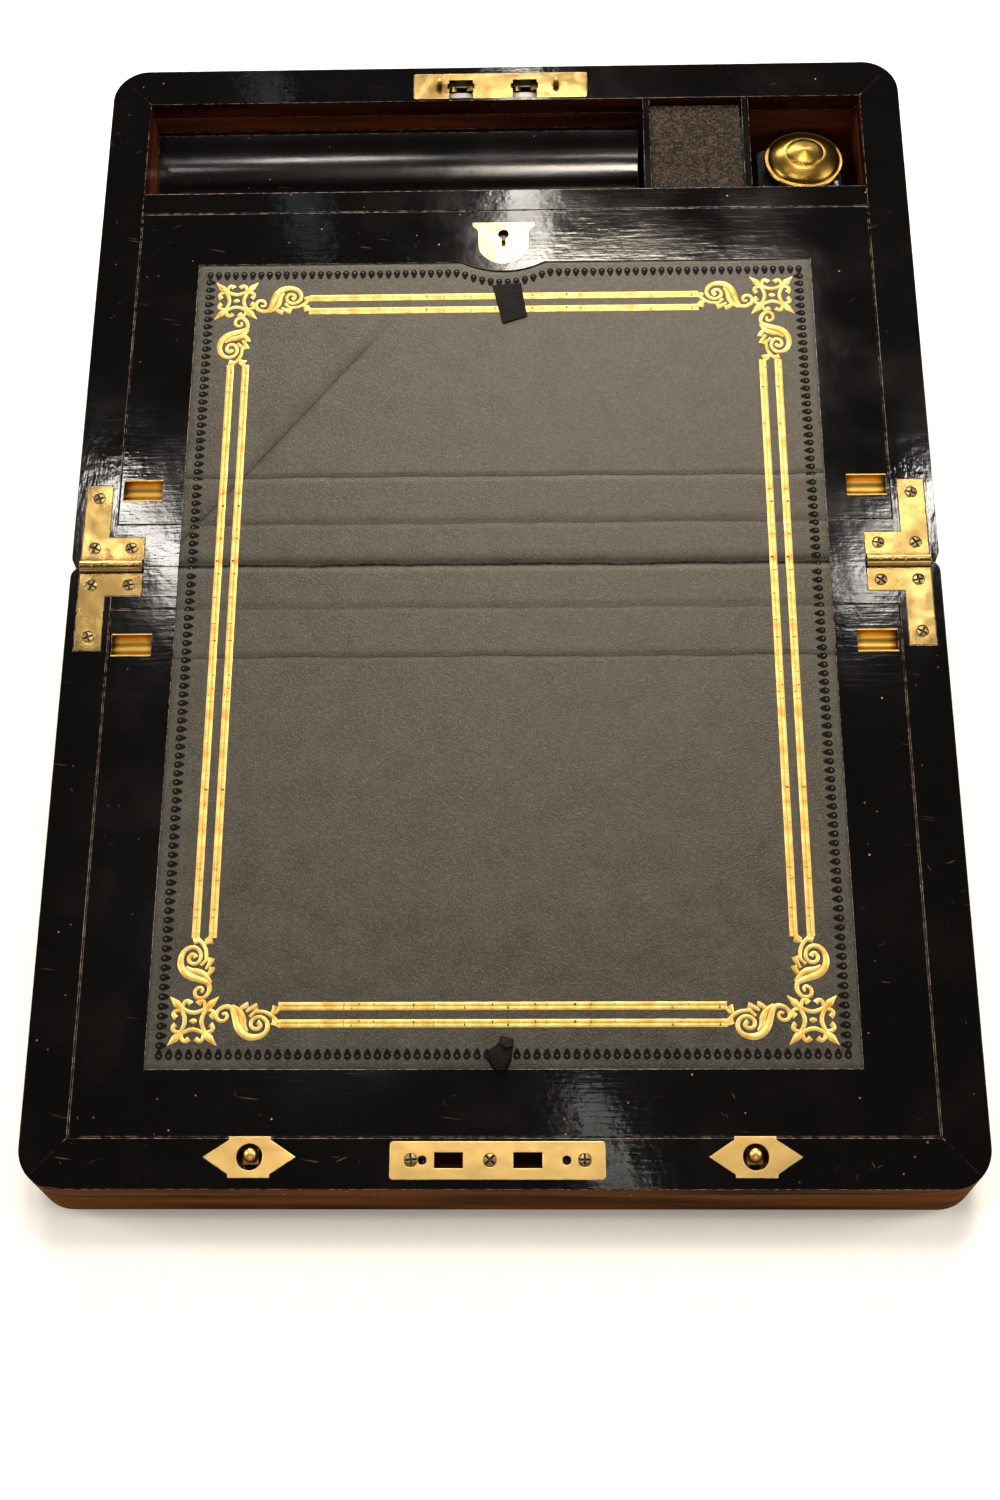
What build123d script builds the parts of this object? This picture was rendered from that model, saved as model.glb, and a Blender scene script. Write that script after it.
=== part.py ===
from build123d import *
from math import cos, radians, sin, sqrt, tan
import os

# A writing slope lying open: the base is the high far half, the lid is the low near half.
# Millimetres. X to the right, Y away from the writer, Z up. The origin is on the table,
# under the middle of the seam where the two halves meet.

# ---- overall sizes -----------------------------------------------------------------
WIDTH = 360.0
HALF_DEPTH = 248.0
SLOPE_DEG = 10.0
THIN_EDGE = 30.0
FAR_CORNER_R = 16.0
NEAR_CORNER_R = 15.0
SEAM_CORNER_R = 4.5
SLOPE_END = round(HALF_DEPTH / cos(radians(SLOPE_DEG)), 1)

# ---- clearances --------------------------------------------------------------------
CLOSE_GAP = 0.15
JOINT_GAP = 0.6
LOOSE_FIT = 0.5
RUN_FIT = 0.2
SMALL_GAP = 0.05

# ---- carcass and rim ---------------------------------------------------------------
SIDE_WALL = 17.7
END_WALL = 18.2
SEAM_WALL = 17.7
BOTTOM = 6.0
REBATE = 8.0
RIM_THICK = 8.0
RAIL_WIDTH = 19.0
LEDGE = 5.0
LEDGE_END_GAP = 3.0

# ---- writing flaps and leather -----------------------------------------------------
FLAP_THICK = 7.7
BAR_NEAR = SLOPE_END - 78.0
BAR_WIDTH = 10.4
SKIN_HALF_WIDTH = WIDTH / 2 - 45.0
SKIN_FAR = SLOPE_END - 105.3
SKIN_NEAR = SLOPE_END - 43.8
SKIN_THICK = 1.0
SKIN_SUNK = 0.45
SKIN_ARCH_R = 38.0
TROUGH_X = WIDTH / 2 - 27.7
TROUGH_T = 35.2
TROUGH_LENGTH = 16.4
TROUGH_WIDTH = 9.8
TROUGH_DEPTH = 5.4
TROUGH_BORE_R = 4.4

# ---- main hinges -------------------------------------------------------------------
LEAF_THICK = 1.6
LEAF_OUTER_X = WIDTH / 2 - 4.0
LEAF_ARM = 10.9
LEAF_INNER_X = WIDTH / 2 - 30.1
LEAF_BACK = 13.2
LEAF_REACH = 37.5
KNUCKLE_R = 2.8
KNUCKLES = 5
PIN_R = 1.1
SCREW_HEAD_R = 2.6
SCREW_SHANK_R = 1.3
SCREW_LENGTH = 9.0
HINGE_SCREWS = ((LEAF_OUTER_X - 5.4, 31.5), (LEAF_OUTER_X - 5.2, 8.4), (LEAF_INNER_X + 5.5, 8.4))

# ---- box lock ----------------------------------------------------------------------
LOCK_X = -1.6
LOCK_LENGTH = 79.6
LOCK_T = SLOPE_END - 10.4
LOCK_WIDTH = 13.7
LOCK_PLATE = 2.0
LOCK_CORNER_R = 1.2
LOCK_FAR_BAND = 3.5
HOOK_X = (-19.7, 9.6)
SLOT_LENGTH = 10.8
SLOT_WIDTH = 5.8
LOCATOR_X = (-29.5, 24.0)
LOCATOR_R = 1.4
LOCATOR_RISE = 3.2
LOCATOR_HOLE_R = 1.7
LOCK_SCREW_X = (-33.7, -4.4, 30.6)
CASE_LENGTH = 66.0
CASE_WIDTH = 8.4
CASE_DEPTH = 21.0
HOOK_THICK = 2.6
HOOK_HUB_DEPTH = 4.4
HOOK_HUB_R = 2.2
HOOK_INNER_R = 6.8
HOOK_OUTER_R = 9.4
HOOK_TAIL_DEG = -48.0
HOOK_TIP_DEG = 18.0
HOOK_ARM_DEG = 12.0
HOOK_HUB_INSET = 1.6
HOOK_POCKET_DEPTH = 12.0
HOOK_POCKET_WIDTH = 6.8
KEYHOLE_DROP = 24.0

# ---- flap lock ---------------------------------------------------------------------
SHIELD_T = SLOPE_END - 84.8
SHIELD_WIDTH = 27.6
SHIELD_HEIGHT = 21.4
SHIELD_HORN = 2.0
SHIELD_SHOULDER = 4.6
SHIELD_WAIST = 2.6
SHIELD_SIDE = 12.2
SHIELD_THICK = 1.4
KEY_R = 2.4
KEY_SLOT = 1.7
KEY_LENGTH = 6.4
KEY_BELOW_TOP = 6.2
FLAP_LOCK_WIDTH = 34.0
FLAP_LOCK_DEPTH = 20.0
FLAP_LOCK_THICK = 4.6
FLAP_BOLT_WIDTH = 12.0
FLAP_BOLT_THICK = 2.4
FLAP_BOLT_LENGTH = 14.0
FLAP_BOLT_THROW = 4.0
FLAP_BOLT_INSET = 0.9

# ---- spring catches ----------------------------------------------------------------
CATCH_X = 93.6
CATCH_T = SLOPE_END - 11.6
CATCH_LENGTH = 34.4
CATCH_HEIGHT = 14.9
CATCH_BLOCK = 15.4
CATCH_SHOULDER = 12.4
CATCH_PLATE = 1.6
CATCH_HOLE_R = 4.9
BALL_R = 2.9
BALL_OFFSET = 1.3
BALL_BEDDED = 0.4
BOLT_WIDTH = 6.0
BOLT_THICK = 2.6
BOLT_TAIL = SLOPE_END - 9.2
CATCH_TRAVEL = 2.6
SPRING_THICK = 0.4
SPRING_HEIGHT = 1.8

# ---- pull tabs ---------------------------------------------------------------------
TAB_WIDTH = 13.0
TAB_THICK = 0.7
TAB_CORNER_R = 1.5
UPPER_TAB_X = 3.0
UPPER_TAB_T = SLOPE_END - 126.8
UPPER_TAB_LENGTH = 19.0
UPPER_TAB_TURN = -10.0
LOWER_TAB_X = -0.5
LOWER_TAB_T = SLOPE_END - 49.3
LOWER_TAB_LENGTH = 15.0
LOWER_TAB_WIDTH = 11.0
LOWER_TAB_RISE = 3.6
LOWER_TAB_THICK = 1.2

# ---- tools end ---------------------------------------------------------------------
FLOOR_SUNK = 48.0
FLOOR_THICK = 4.0
DIVIDER_X = (WIDTH / 2 - 115.0, WIDTH / 2 - 70.0)
DIVIDER_THICK = 3.0
DIVIDER_SUNK = 0.6
DIVIDER_LEDGE = 3.0
TRAY_SUNK = 11.5
TRAY_BODY = 15.0
TRAY_LIP = 2.6
TRAY_BOW = 10.5
TRAY_END = 4.0
STAMP_SUNK = 2.4
STAMP_THICK = 5.0
STAMP_EDGE_R = 1.2
BOTTLE_WIDTH = 38.0
BOTTLE_HEIGHT = 27.0
BOTTLE_CORNER_R = 3.0
BOTTLE_WALL = 4.0
BOTTLE_BEVEL = 2.0
NECK_R = 12.0
NECK_WALL = 3.0
NECK_HEIGHT = 8.0
COLLAR_R = 15.4
COLLAR_HEIGHT = 3.2
CAP_R = 18.2
CAP_BAND = 2.0
CAP_EDGE = 0.6
CAP_STEP_R = 16.2
CAP_STEP = 0.8
CAP_DOME = 5.0
CAP_INNER_R = 13.4
CAP_INNER_DEPTH = 3.0
WELL_X = WIDTH / 2 - 43.0

# ---- worked out from the sizes above -----------------------------------------------
SLOPE = radians(SLOPE_DEG)
SEAM_HEIGHT = THIN_EDGE + HALF_DEPTH * tan(SLOPE)
HALF = WIDTH / 2
INNER_X = HALF - SIDE_WALL
INNER_FAR = HALF_DEPTH - END_WALL
FLAP_X = INNER_X - JOINT_GAP
FLAP_NEAR = RAIL_WIDTH + JOINT_GAP
LID_FLAP_END = INNER_FAR / cos(SLOPE)
BAR_FAR = BAR_NEAR + BAR_WIDTH
FLOOR_NEAR = BAR_NEAR * cos(SLOPE)
TOOLS_NEAR = BAR_FAR * cos(SLOPE)
TOOLS_MID = (TOOLS_NEAR + INNER_FAR) / 2
TOOLS_HEIGHT = round(SEAM_HEIGHT + TOOLS_MID * tan(SLOPE), 1)
FLOOR_TOP = TOOLS_HEIGHT - FLOOR_SUNK
TRAY_TOP = TOOLS_HEIGHT - TRAY_SUNK
FLAP_SEAT = -FLAP_THICK - 2 * CLOSE_GAP
TALL = 3 * SEAM_HEIGHT
SKIN_BED = -SKIN_SUNK - SKIN_THICK
SLOPED = Plane(origin=(0, 0, SEAM_HEIGHT), x_dir=(1, 0, 0), z_dir=(0, -sin(SLOPE), cos(SLOPE)))


def height_at(y):
    """Height of the slope's plane above the table at a distance from the seam."""
    return SEAM_HEIGHT + y * tan(SLOPE)


def block(x0, x1, y0, y1, z0, z1):
    """A box between two corners, square to the table."""
    return Pos((x0 + x1) / 2, (y0 + y1) / 2, (z0 + z1) / 2) * Box(x1 - x0, y1 - y0, z1 - z0)


def on_slope(shape):
    """Move a shape drawn on the flat up to the slope's plane."""
    return SLOPED.location * shape


def slope_block(x0, x1, t0, t1, n0, n1):
    """A box between two corners, measured along and square to the slope's plane."""
    return on_slope(block(x0, x1, min(t0, t1), max(t0, t1), n0, n1))


def slope_prism(sketch, n0, n1):
    """A sketch in the slope's plane, given thickness from n0 to n1."""
    return on_slope(Pos(0, 0, n0) * extrude(sketch, n1 - n0))


def mirrored(shape):
    """The same piece on the other side of the middle."""
    return mirror(shape, about=Plane.YZ)


def half_outline(away, end_radius):
    """Plan of one half: small corners at the seam, large ones at its outer end."""
    middle = away * (CLOSE_GAP + HALF_DEPTH) / 2
    plan = Pos(0, middle) * Rectangle(WIDTH, HALF_DEPTH - CLOSE_GAP)
    far = plan.vertices().group_by(Axis.Y)[-1 if away > 0 else 0]
    plan = fillet(far, end_radius)
    near = [v for v in plan.vertices() if abs(v.Y - away * CLOSE_GAP) < SMALL_GAP]
    return fillet(near, SEAM_CORNER_R)


def wall_wedge(points):
    """A tall prism over the plan of one mitred wall."""
    return extrude(make_face(Polyline(*points, close=True)), TALL)


def hinge_cut():
    """The round the hinge knuckles turn in, cut from every piece along the seam."""
    long = LEAF_OUTER_X - LEAF_INNER_X + 2 * RUN_FIT
    middle = (LEAF_OUTER_X + LEAF_INNER_X) / 2
    bore = Rot(0, 90, 0) * Cylinder(KNUCKLE_R + RUN_FIT, long)
    right = on_slope(Pos(middle, 0, 0) * bore)
    return right + mirrored(right)


def leaf_outline(side, away, slack):
    """Outline of one L-shaped hinge leaf in the slope's plane."""
    back = away * (LEAF_BACK + slack)
    reach = away * (LEAF_REACH + slack)
    outer = side * (LEAF_OUTER_X + slack)
    inner = side * (LEAF_INNER_X - slack)
    arm = side * (LEAF_OUTER_X - LEAF_ARM - slack)
    short_arm = [(outer, 0), (inner, 0), (inner, back)]
    long_arm = [(arm, back), (arm, reach), (outer, reach)]
    return make_face(Polyline(*short_arm, *long_arm, close=True))


def screw_places(away):
    """Centres of the hinge screws of one half, left and right."""
    return [(side * x, away * t) for side in (-1, 1) for x, t in HINGE_SCREWS]


def screw(x, t, top):
    """A countersunk wood screw, its head flush with a plate's face."""
    head = Pos(0, 0, -SCREW_HEAD_R / 2) * Cone(SCREW_SHANK_R, SCREW_HEAD_R, SCREW_HEAD_R)
    shank = Cylinder(SCREW_SHANK_R, SCREW_LENGTH - SCREW_HEAD_R)
    shank = Pos(0, 0, -(SCREW_LENGTH + SCREW_HEAD_R) / 2) * shank
    return on_slope(Pos(x, t, top) * (head + shank))


def screw_hole(x, t, top):
    """The countersunk hole for one screw."""
    head = Pos(0, 0, -SCREW_HEAD_R / 2) * Cone(SCREW_SHANK_R, SCREW_HEAD_R, SCREW_HEAD_R)
    shank = Pos(0, 0, -SCREW_LENGTH / 2) * Cylinder(SCREW_SHANK_R, SCREW_LENGTH)
    return on_slope(Pos(x, t, top) * (head + shank))


def group(shapes):
    """Several separate solids kept together in one piece list entry."""
    solids = [solid for shape in shapes for solid in shape.solids()]
    return Compound(children=solids)


def cut(shape, tools):
    """Take each tool out of a shape."""
    for tool in tools:
        shape = shape - tool
    return shape


# ---- the two carcasses -------------------------------------------------------------
def carcass(away, end_radius):
    """Walls, bottom, rim strips, rail and flap ledges of one half."""
    outer = extrude(half_outline(away, end_radius), TALL)
    below_rim = slope_block(-WIDTH, WIDTH, -2 * HALF_DEPTH, 2 * HALF_DEPTH, -2 * TALL, -RIM_THICK)
    rim_layer = slope_block(-WIDTH, WIDTH, -2 * HALF_DEPTH, 2 * HALF_DEPTH, -RIM_THICK, -CLOSE_GAP)
    y_seam, y_end = sorted((away * SEAM_WALL, away * INNER_FAR))
    cavity = block(-INNER_X, INNER_X, y_seam, y_end, -1, TALL)
    rebate_seam, rebate_end = sorted((away * (SEAM_WALL - REBATE), away * (INNER_FAR + REBATE)))
    floor_space = block(-INNER_X - REBATE, INNER_X + REBATE, rebate_seam, rebate_end, -1, BOTTOM)
    bottom = block(-INNER_X - REBATE, INNER_X + REBATE, rebate_seam, rebate_end, 0, BOTTOM)
    body = (outer & below_rim) - cavity - floor_space - hinge_cut()
    seam, end = away * -1, away * (HALF_DEPTH + 1)
    far, near = away * INNER_FAR, away * SEAM_WALL
    edge = HALF + 1
    walls = {
        "seam": body & wall_wedge([(-edge, seam), (edge, seam), (INNER_X, near), (-INNER_X, near)]),
        "end": body & wall_wedge([(-edge, end), (edge, end), (INNER_X, far), (-INNER_X, far)]),
        "left": body & wall_wedge([(-edge, seam), (-INNER_X, near), (-INNER_X, far), (-edge, end)]),
        "right": body & wall_wedge([(edge, seam), (INNER_X, near), (INNER_X, far), (edge, end)]),
    }
    rim = (outer & rim_layer) - hinge_cut()
    rail_line = away * RAIL_WIDTH * cos(SLOPE)
    opening = block(-INNER_X, INNER_X, *sorted((rail_line, far)), -1, TALL)
    rail_part = block(-INNER_X, INNER_X, *sorted((seam, rail_line)), -1, TALL)
    end_part = wall_wedge([(-edge, end), (edge, end), (INNER_X, far), (-INNER_X, far)])
    rest = rim - opening - rail_part
    strips = {
        "rail": rim & rail_part,
        "end": rest & end_part,
        "left": (rest - end_part) & block(-WIDTH, 0, -WIDTH, WIDTH, -1, TALL),
        "right": (rest - end_part) & block(0, WIDTH, -WIDTH, WIDTH, -1, TALL),
    }
    return walls, bottom, strips


def ledges(away, end):
    """The two fillets glued along the side walls under a flap."""
    top = FLAP_SEAT - RUN_FIT
    near = SEAM_WALL / cos(SLOPE) + LEDGE_END_GAP
    far = end - LEDGE_END_GAP
    one = slope_block(-INNER_X, -INNER_X + LEDGE, away * near, away * far, top - LEDGE, top)
    return group([one, mirrored(one)])


def hinge_leaf(side, away):
    """One inlaid L leaf with its share of the knuckles."""
    plate = slope_prism(leaf_outline(side, away, 0), -CLOSE_GAP - LEAF_THICK, -CLOSE_GAP)
    plate = plate - on_slope(Rot(0, 90, 0) * Cylinder(KNUCKLE_R + RUN_FIT, 2 * WIDTH))
    share = (LEAF_OUTER_X - LEAF_INNER_X) / KNUCKLES
    mine = 0 if away > 0 else 1
    barrel = None
    for count in range(mine, KNUCKLES, 2):
        middle = side * (LEAF_INNER_X + share * (count + 0.5))
        ring = Rot(0, 90, 0) * Cylinder(KNUCKLE_R, share - 2 * SMALL_GAP)
        ring = Pos(middle, 0, 0) * ring
        web = Pos(middle, away * KNUCKLE_R, -CLOSE_GAP - LEAF_THICK / 2)
        tongue = web * Box(share - 2 * SMALL_GAP, 2 * KNUCKLE_R, LEAF_THICK)
        piece = ring + tongue
        barrel = piece if barrel is None else barrel + piece
    barrel = barrel - Rot(0, 90, 0) * Cylinder(PIN_R + SMALL_GAP, 2 * WIDTH)
    leaf = plate + on_slope(barrel)
    return cut(leaf, [screw_hole(x, t, -CLOSE_GAP) for x, t in screw_places(away) if x * side > 0])


def leaf_beds(away):
    """Recesses for both leaves of one half, with their screw holes."""
    beds = [
        slope_prism(leaf_outline(side, away, RUN_FIT), -CLOSE_GAP - LEAF_THICK - SMALL_GAP, 1)
        for side in (-1, 1)
    ]
    return beds + [screw_hole(x, t, -CLOSE_GAP) for x, t in screw_places(away)]


# ---- leather -----------------------------------------------------------------------
def skin_outline(t0, t1, arch=False):
    """A stretch of the leather, dipping round the shield at its far end."""
    middle = (t0 + t1) / 2
    sheet = Pos(0, middle) * Rectangle(2 * SKIN_HALF_WIDTH, abs(t1 - t0))
    if arch:
        sheet = sheet - Pos(0, max(t0, t1) + SKIN_ARCH_R - SHIELD_SHOULDER) * Circle(SKIN_ARCH_R)
    return sheet


def skin(t0, t1, arch=False):
    """A stretch of the leather as a solid."""
    return slope_prism(skin_outline(t0, t1, arch), SKIN_BED, -SKIN_SUNK)


def skin_bed(t0, t1, arch=False):
    """The shallow bed that the leather is laid in."""
    return slope_prism(skin_outline(t0, t1, arch), SKIN_BED, 1)


# ---- flaps -------------------------------------------------------------------------
def between_upright_edges(t0, t1):
    """All that lies between two upright planes through lines of the slope's plane."""
    y0, y1 = sorted((t0 * cos(SLOPE), t1 * cos(SLOPE)))
    return block(-WIDTH, WIDTH, y0, y1, 0, TALL)


def trough(side, away):
    """A brass trough let into the flap, open upwards."""
    t = away * TROUGH_T
    body = Pos(0, 0, -CLOSE_GAP - TROUGH_DEPTH / 2) * Box(TROUGH_LENGTH, TROUGH_WIDTH, TROUGH_DEPTH)
    hollow = Pos(0, 0, -CLOSE_GAP) * Rot(0, 90, 0) * Cylinder(TROUGH_BORE_R, 2 * TROUGH_LENGTH)
    return on_slope(Pos(side * TROUGH_X, t, 0) * (body - hollow))


def trough_bed(side, away):
    """The slot for one trough."""
    x0 = side * TROUGH_X - TROUGH_LENGTH / 2
    t0 = away * TROUGH_T - TROUGH_WIDTH / 2
    floor = -CLOSE_GAP - TROUGH_DEPTH
    return slope_block(x0, x0 + TROUGH_LENGTH, t0, t0 + TROUGH_WIDTH, floor, 1)


def flap_board(away, end):
    """One writing flap, ready for its leather and troughs."""
    ends = (away * FLAP_NEAR, away * end)
    board = slope_block(-FLAP_X, FLAP_X, *ends, -CLOSE_GAP - FLAP_THICK, -CLOSE_GAP)
    board = board & between_upright_edges(*ends)
    return cut(board, [trough_bed(side, away) for side in (-1, 1)])


def shield_outline(top):
    """Outline of a keyhole shield, its top edge at the given line."""
    half = SHIELD_WIDTH / 2
    waist = half - SHIELD_WAIST
    horn = top - SHIELD_HORN
    shoulder = top - SHIELD_SHOULDER
    side = top - SHIELD_SIDE
    bend = (half - SHIELD_WAIST * 0.8, top - (SHIELD_HORN + SHIELD_SHOULDER * 2) / 3)
    edges = [
        Polyline((-half, horn), (-half, top), (half, top), (half, horn)),
        ThreePointArc((half, horn), bend, (waist, shoulder)),
        Line((waist, shoulder), (waist, side)),
        ThreePointArc((waist, side), (0, top - SHIELD_HEIGHT), (-waist, side)),
        Line((-waist, side), (-waist, shoulder)),
        ThreePointArc((-waist, shoulder), (-bend[0], bend[1]), (-half, horn)),
    ]
    return make_face(edges)


def keyhole(top):
    """The keyhole of a shield whose top edge is at the given line."""
    eye = Pos(0, top - KEY_BELOW_TOP) * Circle(KEY_R)
    tail = Pos(0, top - KEY_BELOW_TOP - KEY_LENGTH / 2) * Rectangle(KEY_SLOT, KEY_LENGTH)
    return eye + tail


def flap_lock():
    """The sunk lock of the upper flap: its case, its bolt and the room for both."""
    front = BAR_NEAR - JOINT_GAP
    back = front - FLAP_LOCK_DEPTH
    top = -CLOSE_GAP - SHIELD_THICK - SMALL_GAP
    half = FLAP_LOCK_WIDTH / 2
    low = top - FLAP_LOCK_THICK
    case = slope_block(-half, half, back, front, low, top) & between_upright_edges(back, front)
    middle = (top + low) / 2
    bolt = slope_block(
        -FLAP_BOLT_WIDTH / 2,
        FLAP_BOLT_WIDTH / 2,
        front - FLAP_BOLT_LENGTH,
        front - FLAP_BOLT_INSET,
        middle - FLAP_BOLT_THICK / 2,
        middle + FLAP_BOLT_THICK / 2,
    )
    bolt_room = slope_block(
        -FLAP_BOLT_WIDTH / 2 - RUN_FIT,
        FLAP_BOLT_WIDTH / 2 + RUN_FIT,
        front - FLAP_BOLT_LENGTH - RUN_FIT,
        front + FLAP_BOLT_THROW + RUN_FIT,
        middle - FLAP_BOLT_THICK / 2 - RUN_FIT,
        middle + FLAP_BOLT_THICK / 2 + RUN_FIT,
    )
    return case, bolt, bolt_room


# ---- box lock ----------------------------------------------------------------------
def lock_outline():
    """Plan of the long lock plates."""
    return RectangleRounded(LOCK_LENGTH, LOCK_WIDTH, LOCK_CORNER_R)


def lock_bed(away):
    """Recess for one lock plate."""
    base = -CLOSE_GAP - LOCK_PLATE
    return slope_prism(Pos(LOCK_X, away * LOCK_T) * lock_outline(), base, 1)


def hook(x):
    """A hook that turns on its hub up out of the lock."""
    ring = Circle(HOOK_OUTER_R) - Circle(HOOK_INNER_R)
    far = 2 * HOOK_OUTER_R
    tail = radians(HOOK_TAIL_DEG)
    tip = radians(HOOK_TIP_DEG)
    at_tail = (far * cos(tail), far * sin(tail))
    at_tip = (far * cos(tip), far * sin(tip))
    wedge = make_face(Polyline((0, 0), at_tail, at_tip, close=True))
    arm = Pos(HOOK_OUTER_R / 2, 0) * Rectangle(HOOK_OUTER_R - 1, HOOK_HUB_R)
    arm = Rot(0, 0, HOOK_TAIL_DEG + HOOK_ARM_DEG) * arm
    profile = (ring & wedge) + Circle(HOOK_HUB_R) + arm
    solid = Rot(90, 0, 0) * Pos(0, 0, -HOOK_THICK / 2) * extrude(profile, HOOK_THICK)
    return on_slope(Pos(hub_x(x), LOCK_T, -HOOK_HUB_DEPTH) * solid)


def hub_x(x):
    """Where a hook's hub is, from the middle of its opening."""
    return x - SLOT_LENGTH / 2 + HOOK_HUB_INSET


def hook_room(x):
    """The chamber that a hook turns in."""
    reach = HOOK_OUTER_R + 2 * RUN_FIT
    left = hub_x(x) - HOOK_HUB_R - RUN_FIT
    return slope_block(
        left,
        hub_x(x) + reach,
        LOCK_T - HOOK_THICK / 2 - RUN_FIT,
        LOCK_T + HOOK_THICK / 2 + RUN_FIT,
        -HOOK_HUB_DEPTH - reach,
        1,
    )


def lock_opening(x):
    """One opening of the base's lock plate, open toward the writer."""
    half = SLOT_LENGTH / 2
    near = LOCK_T - LOCK_WIDTH / 2
    far = near + LOCK_WIDTH - LOCK_FAR_BAND
    return slope_block(x - half, x + half, near - 1, far, -LOCK_PLATE - 1, 1)


def locator(x):
    """A round-ended pin that stands on the lock plate."""
    pin = Pos(0, 0, LOCATOR_RISE / 2) * Cylinder(LOCATOR_R, LOCATOR_RISE)
    tip = Pos(0, 0, LOCATOR_RISE) * Sphere(LOCATOR_R)
    return on_slope(Pos(x, LOCK_T, -CLOSE_GAP - SMALL_GAP) * (pin + tip))


def locator_hole(x):
    """The hole in the lid that takes a locating pin."""
    deep = LOCATOR_RISE + LOCATOR_R + 2 * JOINT_GAP
    return on_slope(Pos(x, -LOCK_T, -deep / 2) * Cylinder(LOCATOR_HOLE_R, deep + 1))


# ---- spring catches ----------------------------------------------------------------
def catch_outline():
    """A lozenge with a square block across its middle."""
    half = CATCH_LENGTH / 2
    block_half = CATCH_BLOCK / 2
    lozenge = make_face(
        Polyline(
            (-half, 0),
            (-block_half, CATCH_SHOULDER / 2),
            (block_half, CATCH_SHOULDER / 2),
            (half, 0),
            (block_half, -CATCH_SHOULDER / 2),
            (-block_half, -CATCH_SHOULDER / 2),
            close=True,
        )
    )
    return lozenge + Rectangle(CATCH_BLOCK, CATCH_HEIGHT)


def catch(x):
    """Plate, bolt with its ball knob, spring, and the rooms for them in the lid."""
    plate_sketch = Pos(x, -CATCH_T) * catch_outline()
    under = -CLOSE_GAP - CATCH_PLATE
    hole = on_slope(Pos(x, -CATCH_T, 0) * Cylinder(CATCH_HOLE_R, 4 * CATCH_PLATE))
    plate = slope_prism(plate_sketch, under, -CLOSE_GAP) - hole
    bed = slope_prism(plate_sketch, under, 1)
    nose = -LID_FLAP_END + JOINT_GAP - RUN_FIT
    bar_top = -CLOSE_GAP - CATCH_PLATE - BALL_R + BALL_BEDDED
    bar_low = bar_top - BOLT_THICK
    bar = slope_block(x - BOLT_WIDTH / 2, x + BOLT_WIDTH / 2, -BOLT_TAIL, nose, bar_low, bar_top)
    ball = on_slope(Pos(x, -CATCH_T + BALL_OFFSET, -CLOSE_GAP - SMALL_GAP - BALL_R) * Sphere(BALL_R))
    stem = on_slope(Pos(x, -CATCH_T + BALL_OFFSET, bar_top) * Cylinder(BALL_R / 2, BALL_R))
    bolt = bar + ball + stem
    cup = on_slope(Pos(x, -CATCH_T, bar_low / 2) * Cylinder(CATCH_HOLE_R, -bar_low))
    bow = BOLT_WIDTH / 2 - RUN_FIT
    tail = -BOLT_TAIL - bow - CATCH_TRAVEL - 2 * RUN_FIT
    channel = slope_block(
        x - BOLT_WIDTH / 2 - RUN_FIT,
        x + BOLT_WIDTH / 2 + RUN_FIT,
        tail,
        -LID_FLAP_END + 2,
        bar_low - RUN_FIT,
        bar_top + RUN_FIT,
    )
    leaf = (Circle(bow) - Circle(bow - SPRING_THICK)) & (Pos(0, -bow) * Rectangle(2 * bow, 2 * bow))
    low = (bar_low + bar_top - SPRING_HEIGHT) / 2
    spring = slope_prism(Pos(x, -BOLT_TAIL - SMALL_GAP) * leaf, low, low + SPRING_HEIGHT)
    return plate, bolt, spring, [bed, cup, channel]


# ---- pull tabs ---------------------------------------------------------------------
def upper_tab():
    """A leather pull lying on the upper flap."""
    outline = Rot(0, 0, UPPER_TAB_TURN) * RectangleRounded(TAB_WIDTH, UPPER_TAB_LENGTH, TAB_CORNER_R)
    outline = Pos(UPPER_TAB_X, UPPER_TAB_T) * outline
    base = -SKIN_SUNK + SMALL_GAP / 2
    return slope_prism(outline, base, base + TAB_THICK)


def lower_tab():
    """A leather pull on the lower flap, bowed up off the leather."""
    half = LOWER_TAB_LENGTH / 2
    base = -CLOSE_GAP + SMALL_GAP / 2
    under = ThreePointArc((-half, 0), (0, LOWER_TAB_RISE), (half, 0))
    over_half = half + LOWER_TAB_THICK / 2
    over = ThreePointArc((over_half, 0), (0, LOWER_TAB_RISE + LOWER_TAB_THICK), (-over_half, 0))
    feet = [Line((half, 0), (over_half, 0)), Line((-over_half, 0), (-half, 0))]
    strip = Pos(0, 0, -LOWER_TAB_WIDTH / 2) * extrude(make_face([under, over] + feet), LOWER_TAB_WIDTH)
    strip = Plane(origin=(0, 0, 0), x_dir=(0, 1, 0), z_dir=(1, 0, 0)).location * strip
    return on_slope(Pos(LOWER_TAB_X, -LOWER_TAB_T, base) * strip)


# ---- tools end ---------------------------------------------------------------------
def pen_tray():
    """A long block hollowed to a shallow round, on two end boards."""
    left = -INNER_X + LOOSE_FIT
    right = DIVIDER_X[0] - DIVIDER_THICK / 2 - 3 * LOOSE_FIT
    near = TOOLS_NEAR + LOOSE_FIT
    far = INNER_FAR - LOOSE_FIT
    chord = (far - near) / 2 - TRAY_LIP
    radius = (chord**2 + TRAY_BOW**2) / (2 * TRAY_BOW)
    body = block(left, right, near, far, TRAY_TOP - TRAY_BODY, TRAY_TOP)
    hollow = Rot(0, 90, 0) * Cylinder(radius, 2 * WIDTH)
    hollow = Pos(0, (near + far) / 2, TRAY_TOP - TRAY_BOW + radius) * hollow
    ends = [
        block(x, x + TRAY_END, near, far, FLOOR_TOP, TRAY_TOP - TRAY_BODY)
        for x in (left, right - TRAY_END)
    ]
    return body - hollow + ends[0] + ends[1]


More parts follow.
